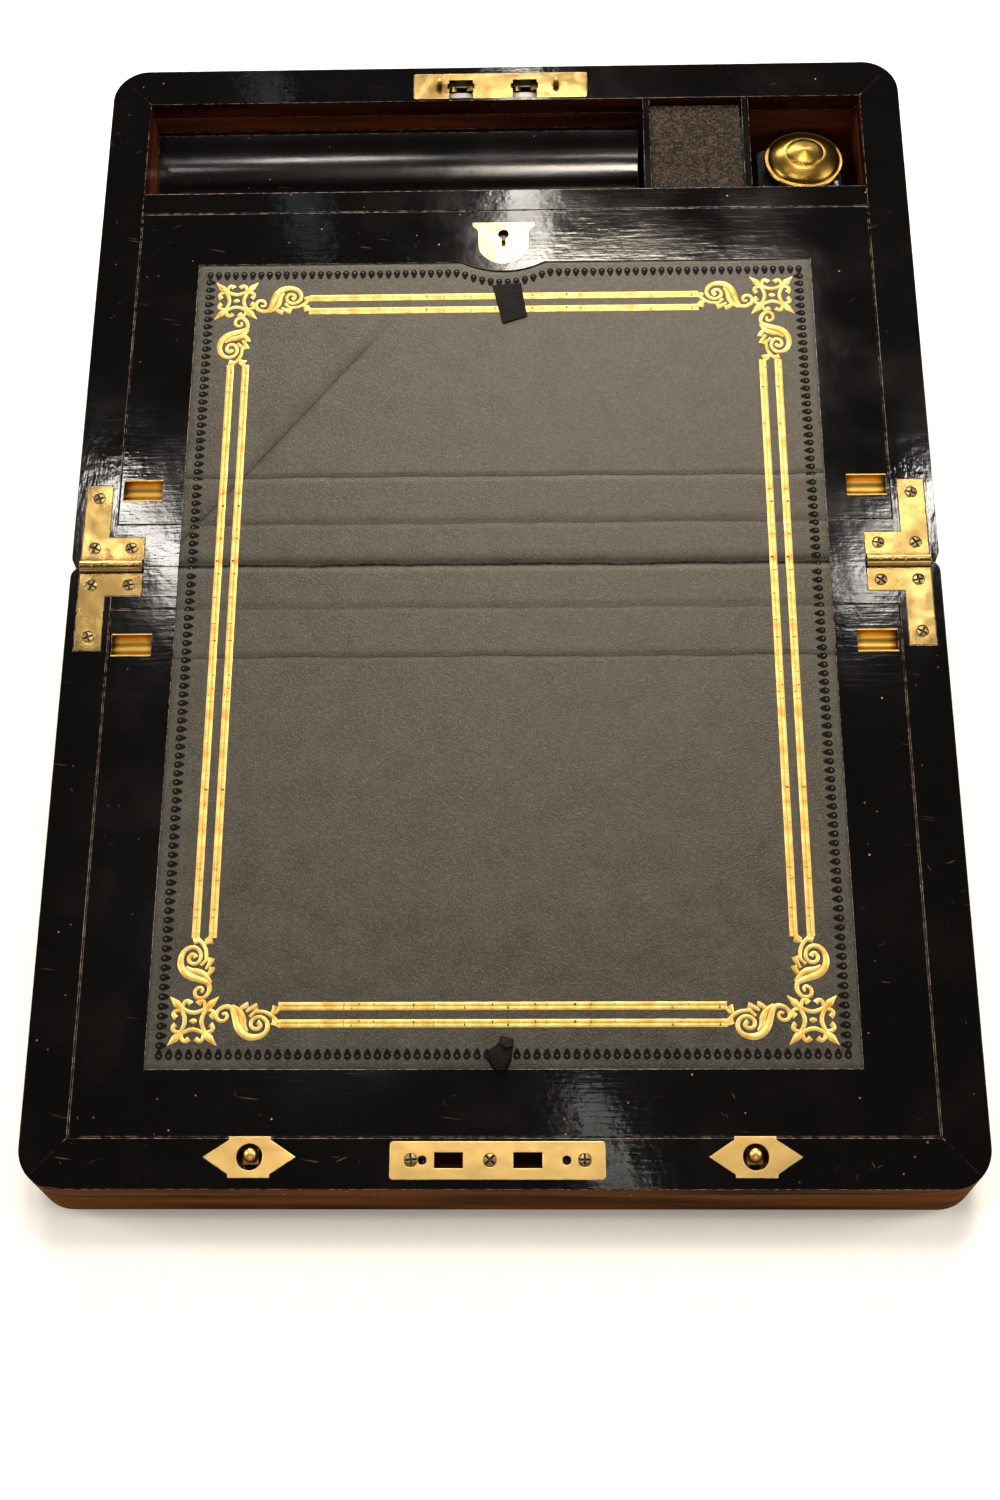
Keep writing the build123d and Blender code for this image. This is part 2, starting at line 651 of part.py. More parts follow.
def divider(x, ledge_side):
    """A thin upright board with a small ledge for the stamp well's lid."""
    top_far = slope_block(-WIDTH, WIDTH, -WIDTH, WIDTH, -TALL, -CLOSE_GAP - DIVIDER_SUNK)
    half = DIVIDER_THICK / 2
    board = block(x - half, x + half, TOOLS_NEAR, INNER_FAR, FLOOR_TOP, TALL) & top_far
    face = x + ledge_side * half
    top = -STAMP_SUNK - STAMP_THICK - SMALL_GAP
    x0, x1 = sorted((face, face + ledge_side * DIVIDER_LEDGE))
    strip = slope_block(x0, x1, -WIDTH, WIDTH, top - DIVIDER_LEDGE, top)
    strip = strip & block(x0, x1, TOOLS_NEAR, INNER_FAR, FLOOR_TOP, TALL)
    return board + strip


def stamp_lid():
    """A lift-off leather-covered lid, sunk a little below the rim."""
    left = DIVIDER_X[0] + DIVIDER_THICK / 2 + LOOSE_FIT
    right = DIVIDER_X[1] - DIVIDER_THICK / 2 - 2 * LOOSE_FIT
    near = TOOLS_NEAR + 2 * LOOSE_FIT
    far = INNER_FAR - 3 * LOOSE_FIT
    low = -STAMP_SUNK - STAMP_THICK
    slab = slope_block(left, right, 0, WIDTH, low, -STAMP_SUNK)
    slab = slab & block(left, right, near, far, 0, TALL)
    return fillet(slab.faces().sort_by(Axis.Z)[-1].edges(), STAMP_EDGE_R)


def ink_bottle():
    """A square glass bottle with a round neck, hollow for the ink."""
    outside = extrude(RectangleRounded(BOTTLE_WIDTH, BOTTLE_WIDTH, BOTTLE_CORNER_R), BOTTLE_HEIGHT)
    outside = chamfer(outside.faces().sort_by(Axis.Z)[-1].edges(), BOTTLE_BEVEL)
    neck = Pos(0, 0, BOTTLE_HEIGHT + NECK_HEIGHT / 2) * Cylinder(NECK_R, NECK_HEIGHT)
    room = BOTTLE_WIDTH - 2 * BOTTLE_WALL
    deep = BOTTLE_HEIGHT - 2 * BOTTLE_WALL
    inside = Pos(0, 0, BOTTLE_WALL) * extrude(RectangleRounded(room, room, BOTTLE_CORNER_R), deep)
    mouth = Pos(0, 0, BOTTLE_HEIGHT) * Cylinder(NECK_R - NECK_WALL, 4 * NECK_HEIGHT)
    mouth = mouth & Pos(0, 0, BOTTLE_WALL + deep) * extrude(Circle(NECK_R), TALL)
    return outside + neck - inside - mouth


def ink_collar():
    """The brass ring cemented round the bottle's neck."""
    low = BOTTLE_HEIGHT + NECK_HEIGHT - COLLAR_HEIGHT
    ring = Circle(COLLAR_R) - Circle(NECK_R + SMALL_GAP)
    return Pos(0, 0, low) * extrude(ring, COLLAR_HEIGHT)


def ink_cap():
    """A turned brass cap: flange, step and a low dome, hollow below."""
    low = BOTTLE_HEIGHT + NECK_HEIGHT + SMALL_GAP
    flange = low + CAP_BAND
    step = flange + CAP_STEP
    dome = step + CAP_DOME
    ceiling = low + CAP_INNER_DEPTH
    rim = CAP_R - CAP_EDGE
    shoulder = CAP_STEP_R - CAP_EDGE
    under = [(0, ceiling), (CAP_INNER_R, low + CAP_INNER_DEPTH / 2), (CAP_INNER_R, low)]
    edge = [(rim, low), (CAP_R, low + CAP_EDGE), (CAP_R, flange - CAP_EDGE), (rim, flange)]
    dome_r = (shoulder**2 + CAP_DOME**2) / (2 * CAP_DOME)
    halfway = (shoulder / 2, dome - dome_r + sqrt(dome_r**2 - shoulder**2 / 4))
    profile = [
        Polyline(*under, *edge, (CAP_STEP_R, flange), (shoulder, step)),
        ThreePointArc((shoulder, step), halfway, (0, dome)),
        Line((0, dome), (0, ceiling)),
    ]
    return revolve(Plane.XZ * make_face(profile), Axis.Z)


# ---- assembly ----------------------------------------------------------------------
def build():
    """Every piece of the writing slope, by name."""
    parts = {}
    base_walls, base_bottom, base_strips = carcass(1, FAR_CORNER_R)
    lid_walls, lid_bottom, lid_strips = carcass(-1, NEAR_CORNER_R)

    # box lock in the far wall
    case_room = slope_block(
        LOCK_X - CASE_LENGTH / 2,
        LOCK_X + CASE_LENGTH / 2,
        LOCK_T - CASE_WIDTH / 2,
        LOCK_T + CASE_WIDTH / 2,
        -CLOSE_GAP - LOCK_PLATE - CASE_DEPTH,
        1,
    )
    case = case_room & slope_block(-WIDTH, WIDTH, 0, WIDTH, -TALL, -CLOSE_GAP - LOCK_PLATE)
    rooms = [hook_room(x) for x in HOOK_X]
    lock_plate = slope_prism(Pos(LOCK_X, LOCK_T) * lock_outline(), -CLOSE_GAP - LOCK_PLATE, -CLOSE_GAP)
    openings = [lock_opening(x) for x in HOOK_X]
    lock_screws = [(x, LOCK_T) for x in LOCK_SCREW_X]
    lock_plate = cut(lock_plate, openings + rooms)
    for x in LOCATOR_X:
        lock_plate = lock_plate + locator(x)
    plate_cuts = [lock_bed(1), case_room] + openings
    parts["base_back_wall"] = cut(base_walls["end"], plate_cuts)
    parts["base_rim_back"] = cut(base_strips["end"], plate_cuts)
    parts["lock_plate"] = lock_plate
    parts["lock_case"] = cut(case, rooms + openings)
    parts["lock_hook_left"] = hook(HOOK_X[0])
    parts["lock_hook_right"] = hook(HOOK_X[1])

    # keyhole shield on the outside of the back wall
    back = Plane(origin=(LOCK_X, HALF_DEPTH, 0), x_dir=(-1, 0, 0), z_dir=(0, 1, 0))
    shield_top = height_at(HALF_DEPTH) - KEYHOLE_DROP + KEY_BELOW_TOP
    outside = back.location * Pos(0, 0, -SHIELD_THICK)
    sunk = outside * extrude(shield_outline(shield_top), 2 * SHIELD_THICK)
    key_way = back.location * Pos(0, 0, -END_WALL / 2) * extrude(keyhole(shield_top), END_WALL)
    parts["back_escutcheon"] = outside * extrude(shield_outline(shield_top), SHIELD_THICK) - key_way
    parts["base_back_wall"] = cut(parts["base_back_wall"], [sunk, key_way - case_room])
    parts["base_rim_back"] = cut(parts["base_rim_back"], [sunk])

    # the rest of the base
    beds = leaf_beds(1)
    parts["base_bottom"] = base_bottom
    parts["base_left_wall"] = cut(base_walls["left"], beds)
    parts["base_right_wall"] = cut(base_walls["right"], beds)
    parts["base_front_wall"] = cut(base_walls["seam"], beds)
    parts["base_rim_left"] = cut(base_strips["left"], beds)
    parts["base_rim_right"] = cut(base_strips["right"], beds)
    parts["base_rail"] = cut(base_strips["rail"], beds + [skin_bed(CLOSE_GAP - 1, RAIL_WIDTH + 1)])
    parts["base_leather_strip"] = skin(CLOSE_GAP, RAIL_WIDTH)
    parts["base_flap_ledges"] = ledges(1, BAR_NEAR)
    parts["base_screws"] = group([screw(x, t, -CLOSE_GAP) for x, t in screw_places(1)])
    tool_floor = block(-INNER_X, INNER_X, FLOOR_NEAR, INNER_FAR, FLOOR_TOP - FLOOR_THICK, FLOOR_TOP)
    parts["tool_floor"] = tool_floor
    below_bar = slope_block(-WIDTH, WIDTH, 0, WIDTH, -TALL, FLAP_SEAT)
    parts["partition"] = block(-INNER_X, INNER_X, FLOOR_NEAR, TOOLS_NEAR, FLOOR_TOP, TALL) & below_bar
    bar_layer = slope_block(-WIDTH, WIDTH, 0, WIDTH, FLAP_SEAT, -CLOSE_GAP)
    bar = block(-INNER_X, INNER_X, FLOOR_NEAR, TOOLS_NEAR, 0, TALL) & bar_layer
    lock_sunk, bolt_f, bolt_room = flap_lock()
    parts["crossbar"] = bar - bolt_room
    parts["dividers"] = group([divider(DIVIDER_X[0], 1), divider(DIVIDER_X[1], -1)])

    # hinges
    for name, side in (("left", -1), ("right", 1)):
        parts["base_hinge_" + name] = hinge_leaf(side, 1)
        parts["lid_hinge_" + name] = hinge_leaf(side, -1)
    pin = Rot(0, 90, 0) * Cylinder(PIN_R, LEAF_OUTER_X - LEAF_INNER_X)
    pin = on_slope(Pos((LEAF_OUTER_X + LEAF_INNER_X) / 2, 0, 0) * pin)
    parts["hinge_pins"] = group([pin, mirrored(pin)])

    # upper flap
    flap = flap_board(1, BAR_NEAR - JOINT_GAP)
    shield_plate = slope_prism(shield_outline(SHIELD_T), -CLOSE_GAP - SHIELD_THICK, -CLOSE_GAP)
    shield_sunk = slope_prism(shield_outline(SHIELD_T), -CLOSE_GAP - SHIELD_THICK - SMALL_GAP, 1)
    key_hole = slope_prism(keyhole(SHIELD_T), -RIM_THICK / 2, 1)
    parts["flap_lock_case"] = cut(lock_sunk, [bolt_room, key_hole])
    parts["upper_flap"] = cut(flap, [skin_bed(FLAP_NEAR - 1, SKIN_FAR, True), shield_sunk, lock_sunk])
    parts["upper_leather"] = skin(FLAP_NEAR, SKIN_FAR, True)
    parts["upper_troughs"] = group([trough(-1, 1), trough(1, 1)])
    parts["flap_escutcheon"] = shield_plate - key_hole
    parts["flap_lock_bolt"] = bolt_f
    parts["upper_tab"] = upper_tab()

    # lid
    beds = leaf_beds(-1)
    pockets = []
    for x in HOOK_X:
        pocket = Pos(x - HOOK_HUB_INSET, -LOCK_T) * Rectangle(1.5 * SLOT_LENGTH, HOOK_POCKET_WIDTH)
        pockets.append(slope_prism(pocket, -HOOK_POCKET_DEPTH, -CLOSE_GAP - LOCK_PLATE))
    holes = [locator_hole(x) for x in LOCATOR_X]
    lid_plate = slope_prism(Pos(LOCK_X, -LOCK_T) * lock_outline(), -CLOSE_GAP - LOCK_PLATE, -CLOSE_GAP)
    slots = []
    for x in HOOK_X:
        slot = Pos(x, -LOCK_T) * Rectangle(SLOT_LENGTH, SLOT_WIDTH)
        slots.append(slope_prism(slot, -2 * LOCK_PLATE, 1))
    lid_plate_screws = [screw_hole(x, -t, -CLOSE_GAP) for x, t in lock_screws]
    parts["lid_lock_plate"] = cut(lid_plate, slots + holes + lid_plate_screws)
    near_cuts = [lock_bed(-1)] + pockets + holes + lid_plate_screws
    catch_plates = []
    for name, side in (("left", -1), ("right", 1)):
        plate, bolt, spring, rooms = catch(side * CATCH_X)
        catch_plates.append(plate)
        parts["catch_bolt_" + name] = bolt
        parts["catch_spring_" + name] = spring
        near_cuts = near_cuts + rooms
    parts["catch_plates"] = group(catch_plates)
    parts["lid_bottom"] = lid_bottom
    parts["lid_near_wall"] = cut(lid_walls["end"], near_cuts)
    parts["lid_rim_near"] = cut(lid_strips["end"], near_cuts)
    parts["lid_left_wall"] = cut(lid_walls["left"], beds)
    parts["lid_right_wall"] = cut(lid_walls["right"], beds)
    parts["lid_seam_wall"] = cut(lid_walls["seam"], beds)
    parts["lid_rim_left"] = cut(lid_strips["left"], beds)
    parts["lid_rim_right"] = cut(lid_strips["right"], beds)
    parts["lid_rail"] = cut(lid_strips["rail"], beds + [skin_bed(1 - CLOSE_GAP, -RAIL_WIDTH - 1)])
    parts["lid_leather_strip"] = skin(-CLOSE_GAP, -RAIL_WIDTH)
    parts["lid_flap_ledges"] = ledges(-1, LID_FLAP_END)
    lid_screws = [screw(x, t, -CLOSE_GAP) for x, t in screw_places(-1)]
    lid_screws += [screw(x, -t, -CLOSE_GAP) for x, t in lock_screws]
    parts["lid_screws"] = group(lid_screws)

    # lower flap
    board = flap_board(-1, LID_FLAP_END - JOINT_GAP)
    parts["lower_flap"] = cut(board, [skin_bed(1 - FLAP_NEAR, -SKIN_NEAR)])
    parts["lower_leather"] = skin(-FLAP_NEAR, -SKIN_NEAR)
    parts["lower_troughs"] = group([trough(-1, -1), trough(1, -1)])
    parts["lower_tab"] = lower_tab()

    # tools end
    parts["pen_tray"] = pen_tray()
    parts["stamp_lid"] = stamp_lid()
    stand = Pos(WELL_X, TOOLS_MID, FLOOR_TOP)
    parts["ink_bottle"] = stand * ink_bottle()
    parts["ink_collar"] = stand * ink_collar()
    parts["ink_cap"] = stand * ink_cap()
    return parts


if __name__ == "__main__":
    os.makedirs("parts", exist_ok=True)
    for part_name, part in build().items():
        export_step(part, "parts/" + part_name + ".step")
    print("writing slope:", WIDTH, "x", 2 * HALF_DEPTH, "x", round(height_at(HALF_DEPTH), 1))
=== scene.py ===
"""The writing slope, opened flat, dressed and lit.

Lengths are millimetres in the slope's own plane, unless a name ends in _M. A place on the slope is
(x, t, n): x to the writer's right, t along the slope away from the writer, n square to its surface.
The seam between the two halves is t = 0.
"""

import logging
import math
from dataclasses import dataclass, field, replace
from enum import Enum
from typing import Callable, Iterable, Optional, Sequence

import bmesh
import bpy
from mathutils import Matrix, Vector, noise

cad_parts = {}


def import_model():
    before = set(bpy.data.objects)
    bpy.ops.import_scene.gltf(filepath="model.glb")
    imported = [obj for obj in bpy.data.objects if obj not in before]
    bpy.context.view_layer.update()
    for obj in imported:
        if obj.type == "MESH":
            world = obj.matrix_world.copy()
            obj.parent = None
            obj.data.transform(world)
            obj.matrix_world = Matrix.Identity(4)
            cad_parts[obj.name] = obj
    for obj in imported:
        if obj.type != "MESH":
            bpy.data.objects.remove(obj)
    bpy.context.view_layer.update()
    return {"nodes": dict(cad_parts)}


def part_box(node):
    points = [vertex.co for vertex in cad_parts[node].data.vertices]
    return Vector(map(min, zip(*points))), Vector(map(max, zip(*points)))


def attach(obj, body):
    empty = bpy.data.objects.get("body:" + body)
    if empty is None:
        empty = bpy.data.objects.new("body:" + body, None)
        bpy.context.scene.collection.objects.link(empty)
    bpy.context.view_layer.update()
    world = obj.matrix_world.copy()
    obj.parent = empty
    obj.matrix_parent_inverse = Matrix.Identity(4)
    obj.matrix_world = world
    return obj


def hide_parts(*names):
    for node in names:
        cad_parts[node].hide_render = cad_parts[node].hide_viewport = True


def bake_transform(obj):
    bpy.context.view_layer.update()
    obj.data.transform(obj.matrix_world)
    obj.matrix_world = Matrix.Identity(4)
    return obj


LOG = logging.getLogger("writing_slope")
MM = 0.001

Point2 = tuple[float, float]
Point3 = tuple[float, float, float]
UvRule = Callable[[Vector], Point2]


# ---- where things are ----------------------------------------------------------------------
@dataclass(frozen=True)
class Slope:
    """The tilted plane that the open box makes."""

    tilt_deg: float = 10.0
    seam_height: float = 73.729

    @property
    def placing(self) -> Matrix:
        """The matrix from the slope's own millimetres to the room in metres."""
        lift = Matrix.Translation((0.0, 0.0, self.seam_height * MM))
        return lift @ Matrix.Rotation(math.radians(self.tilt_deg), 4, "X") @ Matrix.Scale(MM, 4)

    @property
    def normal(self) -> Vector:
        """The direction square to the slope, upwards."""
        tilt = math.radians(self.tilt_deg)
        return Vector((0.0, -math.sin(tilt), math.cos(tilt)))

    def place(self, x: float, t: float, n: float = 0.0) -> Vector:
        """Gives a place on the slope as a point in the room.

        Args:
            x: Distance to the right.
            t: Distance along the slope.
            n: Height square to the slope.

        Returns:
            The point in metres.
        """
        return self.placing @ Vector((x, t, n))


SLOPE = Slope()


# ---- colour and node helpers ---------------------------------------------------------------
def linear(code: str, alpha: float = 1.0) -> tuple[float, float, float, float]:
    """Turns an sRGB hex colour to linear light.

    Args:
        code: Six hex digits, with or without a leading hash.
        alpha: The opacity to put with it.

    Returns:
        Red, green, blue and alpha.
    """
    digits = code.lstrip("#")
    channels = [int(digits[at : at + 2], 16) / 255 for at in (0, 2, 4)]
    red, green, blue = (c / 12.92 if c <= 0.04045 else ((c + 0.055) / 1.055) ** 2.4 for c in channels)
    return red, green, blue, alpha


def add_node(
    tree: bpy.types.NodeTree,
    kind: str,
    values: Optional[dict] = None,
    links: Optional[dict] = None,
    **settings,
) -> bpy.types.Node:
    """Adds a node with its settings, fixed inputs and links.

    Args:
        tree: The node tree to add to.
        kind: Blender's name of the node, without ShaderNode.
        values: Input name or number to its fixed value.
        links: Input name or number to the output socket that feeds it.
        **settings: The node's own properties.

    Returns:
        The new node.
    """
    node = tree.nodes.new("ShaderNode" + kind)
    for name, value in settings.items():
        setattr(node, name, value)
    for name, value in (values or {}).items():
        node.inputs[name].default_value = value
    for name, socket in (links or {}).items():
        tree.links.new(socket, node.inputs[name])
    return node


def blank_material(name: str) -> tuple[bpy.types.Material, bpy.types.NodeTree]:
    """Starts an empty node material."""
    material = bpy.data.materials.new(name)
    material.use_nodes = True
    material.node_tree.nodes.clear()
    return material, material.node_tree


def close_material(tree: bpy.types.NodeTree, shader: bpy.types.Node) -> None:
    """Joins a shader to the material's output."""
    add_node(tree, "OutputMaterial", links={"Surface": shader.outputs[0]})


class Ramp:
    """Small node recipes that several finishes share."""

    @staticmethod
    def span(tree: bpy.types.NodeTree, source, low: float, high: float, to_low=0.0, to_high=1.0):
        """Maps a value from one range to another, held at its ends."""
        settings = {"From Min": low, "From Max": high, "To Min": to_low, "To Max": to_high}
        return add_node(tree, "MapRange", settings, {"Value": source}).outputs[0]

    @staticmethod
    def times(tree: bpy.types.NodeTree, first, second):
        """Multiplies two values."""
        node = add_node(tree, "Math", {}, {0: first}, operation="MULTIPLY")
        if isinstance(second, float):
            node.inputs[1].default_value = second
        else:
            tree.links.new(second, node.inputs[1])
        return node.outputs[0]

    @staticmethod
    def mix(tree: bpy.types.NodeTree, share, first, second):
        """Mixes two colours; each is a colour socket or a linear colour."""
        node = add_node(tree, "Mix", data_type="RGBA", clamp_factor=True)
        tree.links.new(share, node.inputs[0])
        for socket, value in ((node.inputs[6], first), (node.inputs[7], second)):
            if isinstance(value, tuple):
                socket.default_value = value
            else:
                tree.links.new(value, socket)
        return node.outputs[2]

    @staticmethod
    def clouds(tree: bpy.types.NodeTree, place, scale: float, detail=3.0, stretch: Point3 = (1, 1, 1)):
        """Noise at a scale in patches per metre, stretched along an axis if wanted."""
        if stretch != (1, 1, 1):
            place = add_node(tree, "Mapping", {"Scale": stretch}, {"Vector": place}).outputs[0]
        values = {"Scale": scale, "Detail": detail, "Roughness": 0.55}
        return add_node(tree, "TexNoise", values, {"Vector": place}).outputs["Fac"]


class Grain(Enum):
    """Which way a board's grain runs; the numbers squeeze a pattern across it."""

    ALONG_X = (0.09, 1.0, 1.0)
    ALONG_Y = (1.0, 0.09, 1.0)


# ---- finishes ------------------------------------------------------------------------------
@dataclass(frozen=True)
class EbonisedPolish:
    """Fruitwood stained black and French polished: deep black, glossy, rubbed pale at its edges."""

    name: str = "ebonised_french_polish"
    black: str = "050404"
    thin: str = "140b06"
    rubbed: str = "cdb58e"
    brown: str = "2a1404"
    lit_brown: str = "66390f"
    brown_sides: bool = False
    gloss: float = 0.06
    edge_mm: float = 0.24
    corner_x: float = 162.9
    corner_y: float = 229.4
    grain: Grain = Grain.ALONG_X

    def scratches(self, tree: bpy.types.NodeTree, place, turn_deg: float, rarity: float):
        """Sparse fine scratches, some millimetres long."""
        turned = add_node(
            tree, "Mapping", {"Rotation": (0, 0, math.radians(turn_deg))}, {"Vector": place}
        ).outputs[0]
        lines = Ramp.clouds(tree, turned, 1000.0, 1.0, (0.05, 1.0, 1.0))
        where = Ramp.clouds(tree, place, 45.0, 2.0)
        mark = Ramp.span(tree, lines, rarity, rarity + 0.05)
        return Ramp.times(tree, mark, Ramp.span(tree, where, 0.56, 0.70))

    def away_from_mitres(self, tree: bpy.types.NodeTree, place):
        """One, but nought in the four corners, where close mitres show no wear."""
        parts = add_node(tree, "SeparateXYZ", links={0: place})
        shares = []
        for axis, limit in (("X", self.corner_x), ("Y", self.corner_y)):
            size = add_node(tree, "Math", links={0: parts.outputs[axis]}, operation="ABSOLUTE").outputs[0]
            shares.append(Ramp.span(tree, size, limit * MM, (limit + 0.6) * MM))
        inside = Ramp.times(tree, shares[0], shares[1])
        return Ramp.span(tree, inside, 0.0, 1.0, 1.0, 0.05)

    def wear(self, tree: bpy.types.NodeTree, place, rounded):
        """How far the black is rubbed off: broken lines at edges, specks, chips and scratches."""
        flat = add_node(tree, "NewGeometry")
        turn = add_node(
            tree,
            "VectorMath",
            links={0: rounded.outputs[0], 1: flat.outputs["Normal"]},
            operation="DOT_PRODUCT",
        )
        edge = Ramp.span(tree, turn.outputs["Value"], 0.985, 0.90)
        broken = Ramp.span(tree, Ramp.clouds(tree, place, 420.0, 6.0), 0.46, 0.58)
        rubbed = Ramp.times(tree, Ramp.times(tree, edge, broken), self.away_from_mitres(tree, place))
        # dust and chips, 0.3 to 0.8 mm across
        worst = rubbed
        for scale, size, share, strength in ((210.0, 0.10, 0.80, 0.5), (85.0, 0.055, 0.86, 0.8)):
            cells = add_node(tree, "TexVoronoi", {"Scale": scale}, {"Vector": place})
            dot = Ramp.span(tree, cells.outputs["Distance"], size, size * 0.5)
            split = add_node(tree, "SeparateColor", links={0: cells.outputs["Color"]})
            few = Ramp.span(tree, split.outputs[0], share, share + 0.18, 0.0, strength)
            speck = Ramp.times(tree, dot, few)
            worst = add_node(tree, "Math", links={0: worst, 1: speck}, operation="MAXIMUM").outputs[0]
        for turn_deg, rarity in ((8.0, 0.735), (64.0, 0.75), (-24.0, 0.75)):
            mark = Ramp.times(tree, self.scratches(tree, place, turn_deg, rarity), 0.13)
            worst = add_node(tree, "Math", links={0: worst, 1: mark}, operation="MAXIMUM").outputs[0]
        return worst

    def facing_up(self, tree: bpy.types.NodeTree, coords):
        """How far a face looks up, square to the slope."""
        links = {0: coords.outputs["Normal"]}
        upward = add_node(tree, "VectorMath", {1: SLOPE.normal}, links, operation="DOT_PRODUCT")
        return upward.outputs["Value"]

    def wood_sides(self, tree: bpy.types.NodeTree, coords, place, colour):
        """Puts brown, less stained wood on the faces that don't face up."""
        side = Ramp.span(tree, self.facing_up(tree, coords), 0.75, 0.45)
        figure = Ramp.clouds(tree, place, 150.0, 5.0, self.grain.value)
        wood = Ramp.mix(
            tree, Ramp.span(tree, figure, 0.36, 0.7), linear(self.brown), linear(self.lit_brown)
        )
        return Ramp.mix(tree, side, colour, wood)

    def build(self) -> bpy.types.Material:
        """Makes the material."""
        material, tree = blank_material(self.name)
        coords = add_node(tree, "TexCoord")
        place = coords.outputs["Object"]
        # rubbing marks of the polishing pad, about 0.5 mm apart, drawn as coarse as shows
        streaks = Ramp.clouds(tree, place, 700.0, 2.0, self.grain.value)
        ripple = Ramp.clouds(tree, place, 110.0, 3.0)
        patches = Ramp.clouds(tree, place, 30.0, 4.0)
        rounded = add_node(tree, "Bevel", {"Radius": self.edge_mm * MM}, samples=8)
        marks = self.wear(tree, place, rounded)
        thin = Ramp.times(tree, Ramp.span(tree, patches, 0.55, 0.78), 0.4)
        colour = Ramp.mix(tree, thin, linear(self.black), linear(self.thin))
        if self.brown_sides:
            colour = self.wood_sides(tree, coords, place, colour)
        colour = Ramp.mix(tree, marks, colour, linear(self.rubbed))
        gloss = Ramp.span(tree, patches, 0.3, 0.75, self.gloss, self.gloss + 0.1)
        dull = add_node(tree, "Math", links={0: gloss, 1: marks}, operation="MAXIMUM").outputs[0]
        rough = Ramp.span(tree, dull, 0.0, 1.0, 0.0, 0.75)
        height = add_node(
            tree, "Math", {1: 0.35}, {0: streaks, 2: ripple}, operation="MULTIPLY_ADD"
        ).outputs[0]
        flat = add_node(tree, "NewGeometry").outputs["Normal"]
        edges = Ramp.mix(tree, self.away_from_mitres(tree, place), flat, rounded.outputs[0])
        links = {"Height": height, "Normal": edges}
        bump = add_node(tree, "Bump", {"Strength": 0.16, "Distance": 0.0004}, links)
        shader = add_node(
            tree,
            "BsdfPrincipled",
            {"IOR": 1.5},
            {"Base Color": colour, "Roughness": rough, "Normal": bump.outputs[0]},
        )
        if self.brown_sides:
            matt = add_node(tree, "BsdfDiffuse", {}, {"Color": colour, "Normal": rounded.outputs[0]})
            share = Ramp.span(tree, self.facing_up(tree, coords), 0.75, 0.45, 0.0, 0.93)
            shader = add_node(tree, "MixShader", {}, {0: share, 1: shader.outputs[0], 2: matt.outputs[0]})
        close_material(tree, shader)
        return material


@dataclass(frozen=True)
class MahoganyPolish:
    """Old polished mahogany: red brown with darker streaks along the grain."""

    name: str = "polished_mahogany"
    dark: str = "260d05"
    warm: str = "5a2813"
    grain: Grain = Grain.ALONG_X
    matt: float = 0.6
    outer_dark: str = "2e1604"
    outer_warm: str = "6e3f0e"

    def outside(self, tree: bpy.types.NodeTree, place):
        """One on the box's own outer faces, nought on the linings of its wells."""
        parts = add_node(tree, "SeparateXYZ", links={0: place})
        x, y = (
            add_node(tree, "Math", links={0: parts.outputs[axis]}, operation="ABSOLUTE").outputs[0]
            for axis in ("X", "Y")
        )
        # the sum of both reaches past this only on the round outer corners
        both = add_node(tree, "Math", links={0: x, 1: y}, operation="ADD").outputs[0]
        share = Ramp.span(tree, parts.outputs["Z"], 1.2 * MM, 0.4 * MM)
        for size, start in ((x, 178.5), (y, 246.5), (both, 414.0)):
            beyond = Ramp.span(tree, size, start * MM, (start + 1.0) * MM)
            share = add_node(tree, "Math", links={0: share, 1: beyond}, operation="MAXIMUM").outputs[0]
        return share

    def build(self) -> bpy.types.Material:
        """Makes the material."""
        material, tree = blank_material(self.name)
        place = add_node(tree, "TexCoord").outputs["Object"]
        figure = Ramp.clouds(tree, place, 110.0, 6.0, self.grain.value)
        # pores of mahogany, about 0.3 mm wide and some millimetres long
        squeeze = tuple(0.06 if s < 1 else 1.0 for s in self.grain.value)
        pores = Ramp.clouds(tree, place, 1500.0, 1.0, squeeze)
        streak = Ramp.span(tree, figure, 0.34, 0.68)
        lining = Ramp.mix(tree, streak, linear(self.dark), linear(self.warm))
        veneer = Ramp.mix(tree, streak, linear(self.outer_dark), linear(self.outer_warm))
        colour = Ramp.mix(tree, self.outside(tree, place), lining, veneer)
        pore = Ramp.times(tree, Ramp.span(tree, pores, 0.60, 0.72), 0.5)
        colour = Ramp.mix(tree, pore, colour, linear("160905"))
        rounded = add_node(tree, "Bevel", {"Radius": 0.5 * MM}, samples=4)
        bump = add_node(
            tree,
            "Bump",
            {"Strength": 0.15, "Distance": 0.0002},
            {"Height": pores, "Normal": rounded.outputs[0]},
        )
        rough = Ramp.span(tree, figure, 0.3, 0.7, 0.30, 0.48)
        shader = add_node(
            tree,
            "BsdfPrincipled",
            {"IOR": 1.5},
            {"Base Color": colour, "Roughness": rough, "Normal": bump.outputs[0]},
        )
        bare = add_node(tree, "BsdfDiffuse", {}, {"Color": colour, "Normal": bump.outputs[0]})
        shader = add_node(tree, "MixShader", {0: self.matt}, {1: shader.outputs[0], 2: bare.outputs[0]})
        close_material(tree, shader)
        return material


